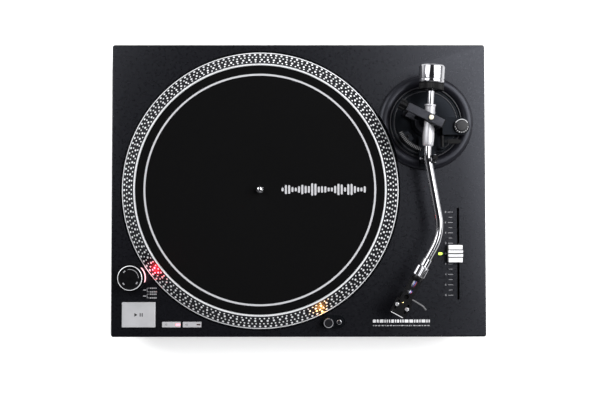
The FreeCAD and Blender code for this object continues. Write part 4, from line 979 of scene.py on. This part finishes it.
def area_light(name, place, target, size, power):
    data = bpy.data.lights.new(name, "AREA")
    data.shape = "RECTANGLE"
    data.size, data.size_y = size
    data.energy = power
    lamp = bpy.data.objects.new(name, data)
    lamp.location = place
    lamp.rotation_mode = "QUATERNION"
    lamp.rotation_quaternion = (Vector(target) - Vector(place)).to_track_quat("-Z", "Y")
    scene.collection.objects.link(lamp)


SPOT_ANGLE = 1.6


def small_light(name, place, target, power, colour, size=0.004):
    data = bpy.data.lights.new(name, "SPOT")
    data.energy = power
    data.color = colour
    data.spot_size = SPOT_ANGLE
    data.spot_blend = 0.8
    data.shadow_soft_size = size
    lamp = bpy.data.objects.new(name, data)
    lamp.location = place
    lamp.rotation_mode = "QUATERNION"
    lamp.rotation_quaternion = (Vector(target) - Vector(place)).to_track_quat("-Z", "Y")
    scene.collection.objects.link(lamp)


def make_world():
    """A room whose walls are bright near the floor and dark overhead."""
    world = bpy.data.worlds.new("room")
    scene.world = world
    world.use_nodes = True
    tree = world.node_tree
    coords = tree.nodes.new("ShaderNodeTexCoord")
    parts = tree.nodes.new("ShaderNodeSeparateXYZ")
    ramp = tree.nodes.new("ShaderNodeValToRGB")
    ramp.color_ramp.elements[0].position = WALLS_BRIGHT_TO
    ramp.color_ramp.elements[0].color = (0.9, 0.9, 0.92, 1)
    ramp.color_ramp.elements[1].position = WALLS_DARK_FROM
    ramp.color_ramp.elements[1].color = (0.05, 0.05, 0.055, 1)
    tree.links.new(coords.outputs["Generated"], parts.inputs["Vector"])
    tree.links.new(parts.outputs["Z"], ramp.inputs["Fac"])
    tree.links.new(ramp.outputs["Color"], tree.nodes["Background"].inputs["Color"])
    tree.nodes["Background"].inputs["Strength"].default_value = 1.0


def make_lights():
    make_world()
    area_light("right", (1.15, 0.5, 1.4), (0, 0, 0), (1.5, 1.7), 60)
    area_light("left", (-1.25, 0.75, 1.35), (0, 0, 0), (1.0, 1.4), 25)
    small_light("strobe_glow", (-0.183, -0.1005, 0.0965), (-0.166, -0.0925, 0.09), 0.36, (1, 0.015, 0.03),
                0.008)
    small_light("target_glow", (0.0335, -0.1545, 0.0965), (0.024, -0.139, 0.094), 0.14, (1, 0.42, 0.1))


CAMERA_PLACE = (-0.00193, -0.0597, 1.2935 + PLINTH_TOP * MM)
CAMERA_TURN = (2.12, -0.16, -0.03)
FOCAL_PIXELS = 1076.1
FRAME_WIDE = 600


def make_camera():
    data = bpy.data.cameras.new("camera")
    data.sensor_width = 36
    data.lens = FOCAL_PIXELS / FRAME_WIDE * 36
    camera = bpy.data.objects.new("camera", data)
    camera.location = CAMERA_PLACE
    pitch, yaw, roll = (math.radians(angle) for angle in CAMERA_TURN)
    turn = Matrix.Rotation(pitch, 3, "X") @ Matrix.Rotation(yaw, 3, "Y") @ Matrix.Rotation(roll, 3, "Z")
    camera.rotation_mode = "QUATERNION"
    camera.rotation_quaternion = turn.to_quaternion()
    scene.collection.objects.link(camera)
    scene.camera = camera


make_camera()
make_plain_pieces()
make_feet()
make_platter()
make_dots()
make_mat()
make_arm_base()
make_pivot()
make_lift()
make_rest_pins()
make_antiskate()
make_arm()
make_headshell()
make_buttons()
make_power()
make_lamp()
make_prints()
make_fader()
make_floor()
make_lights()
scene.view_settings.view_transform = "Standard"
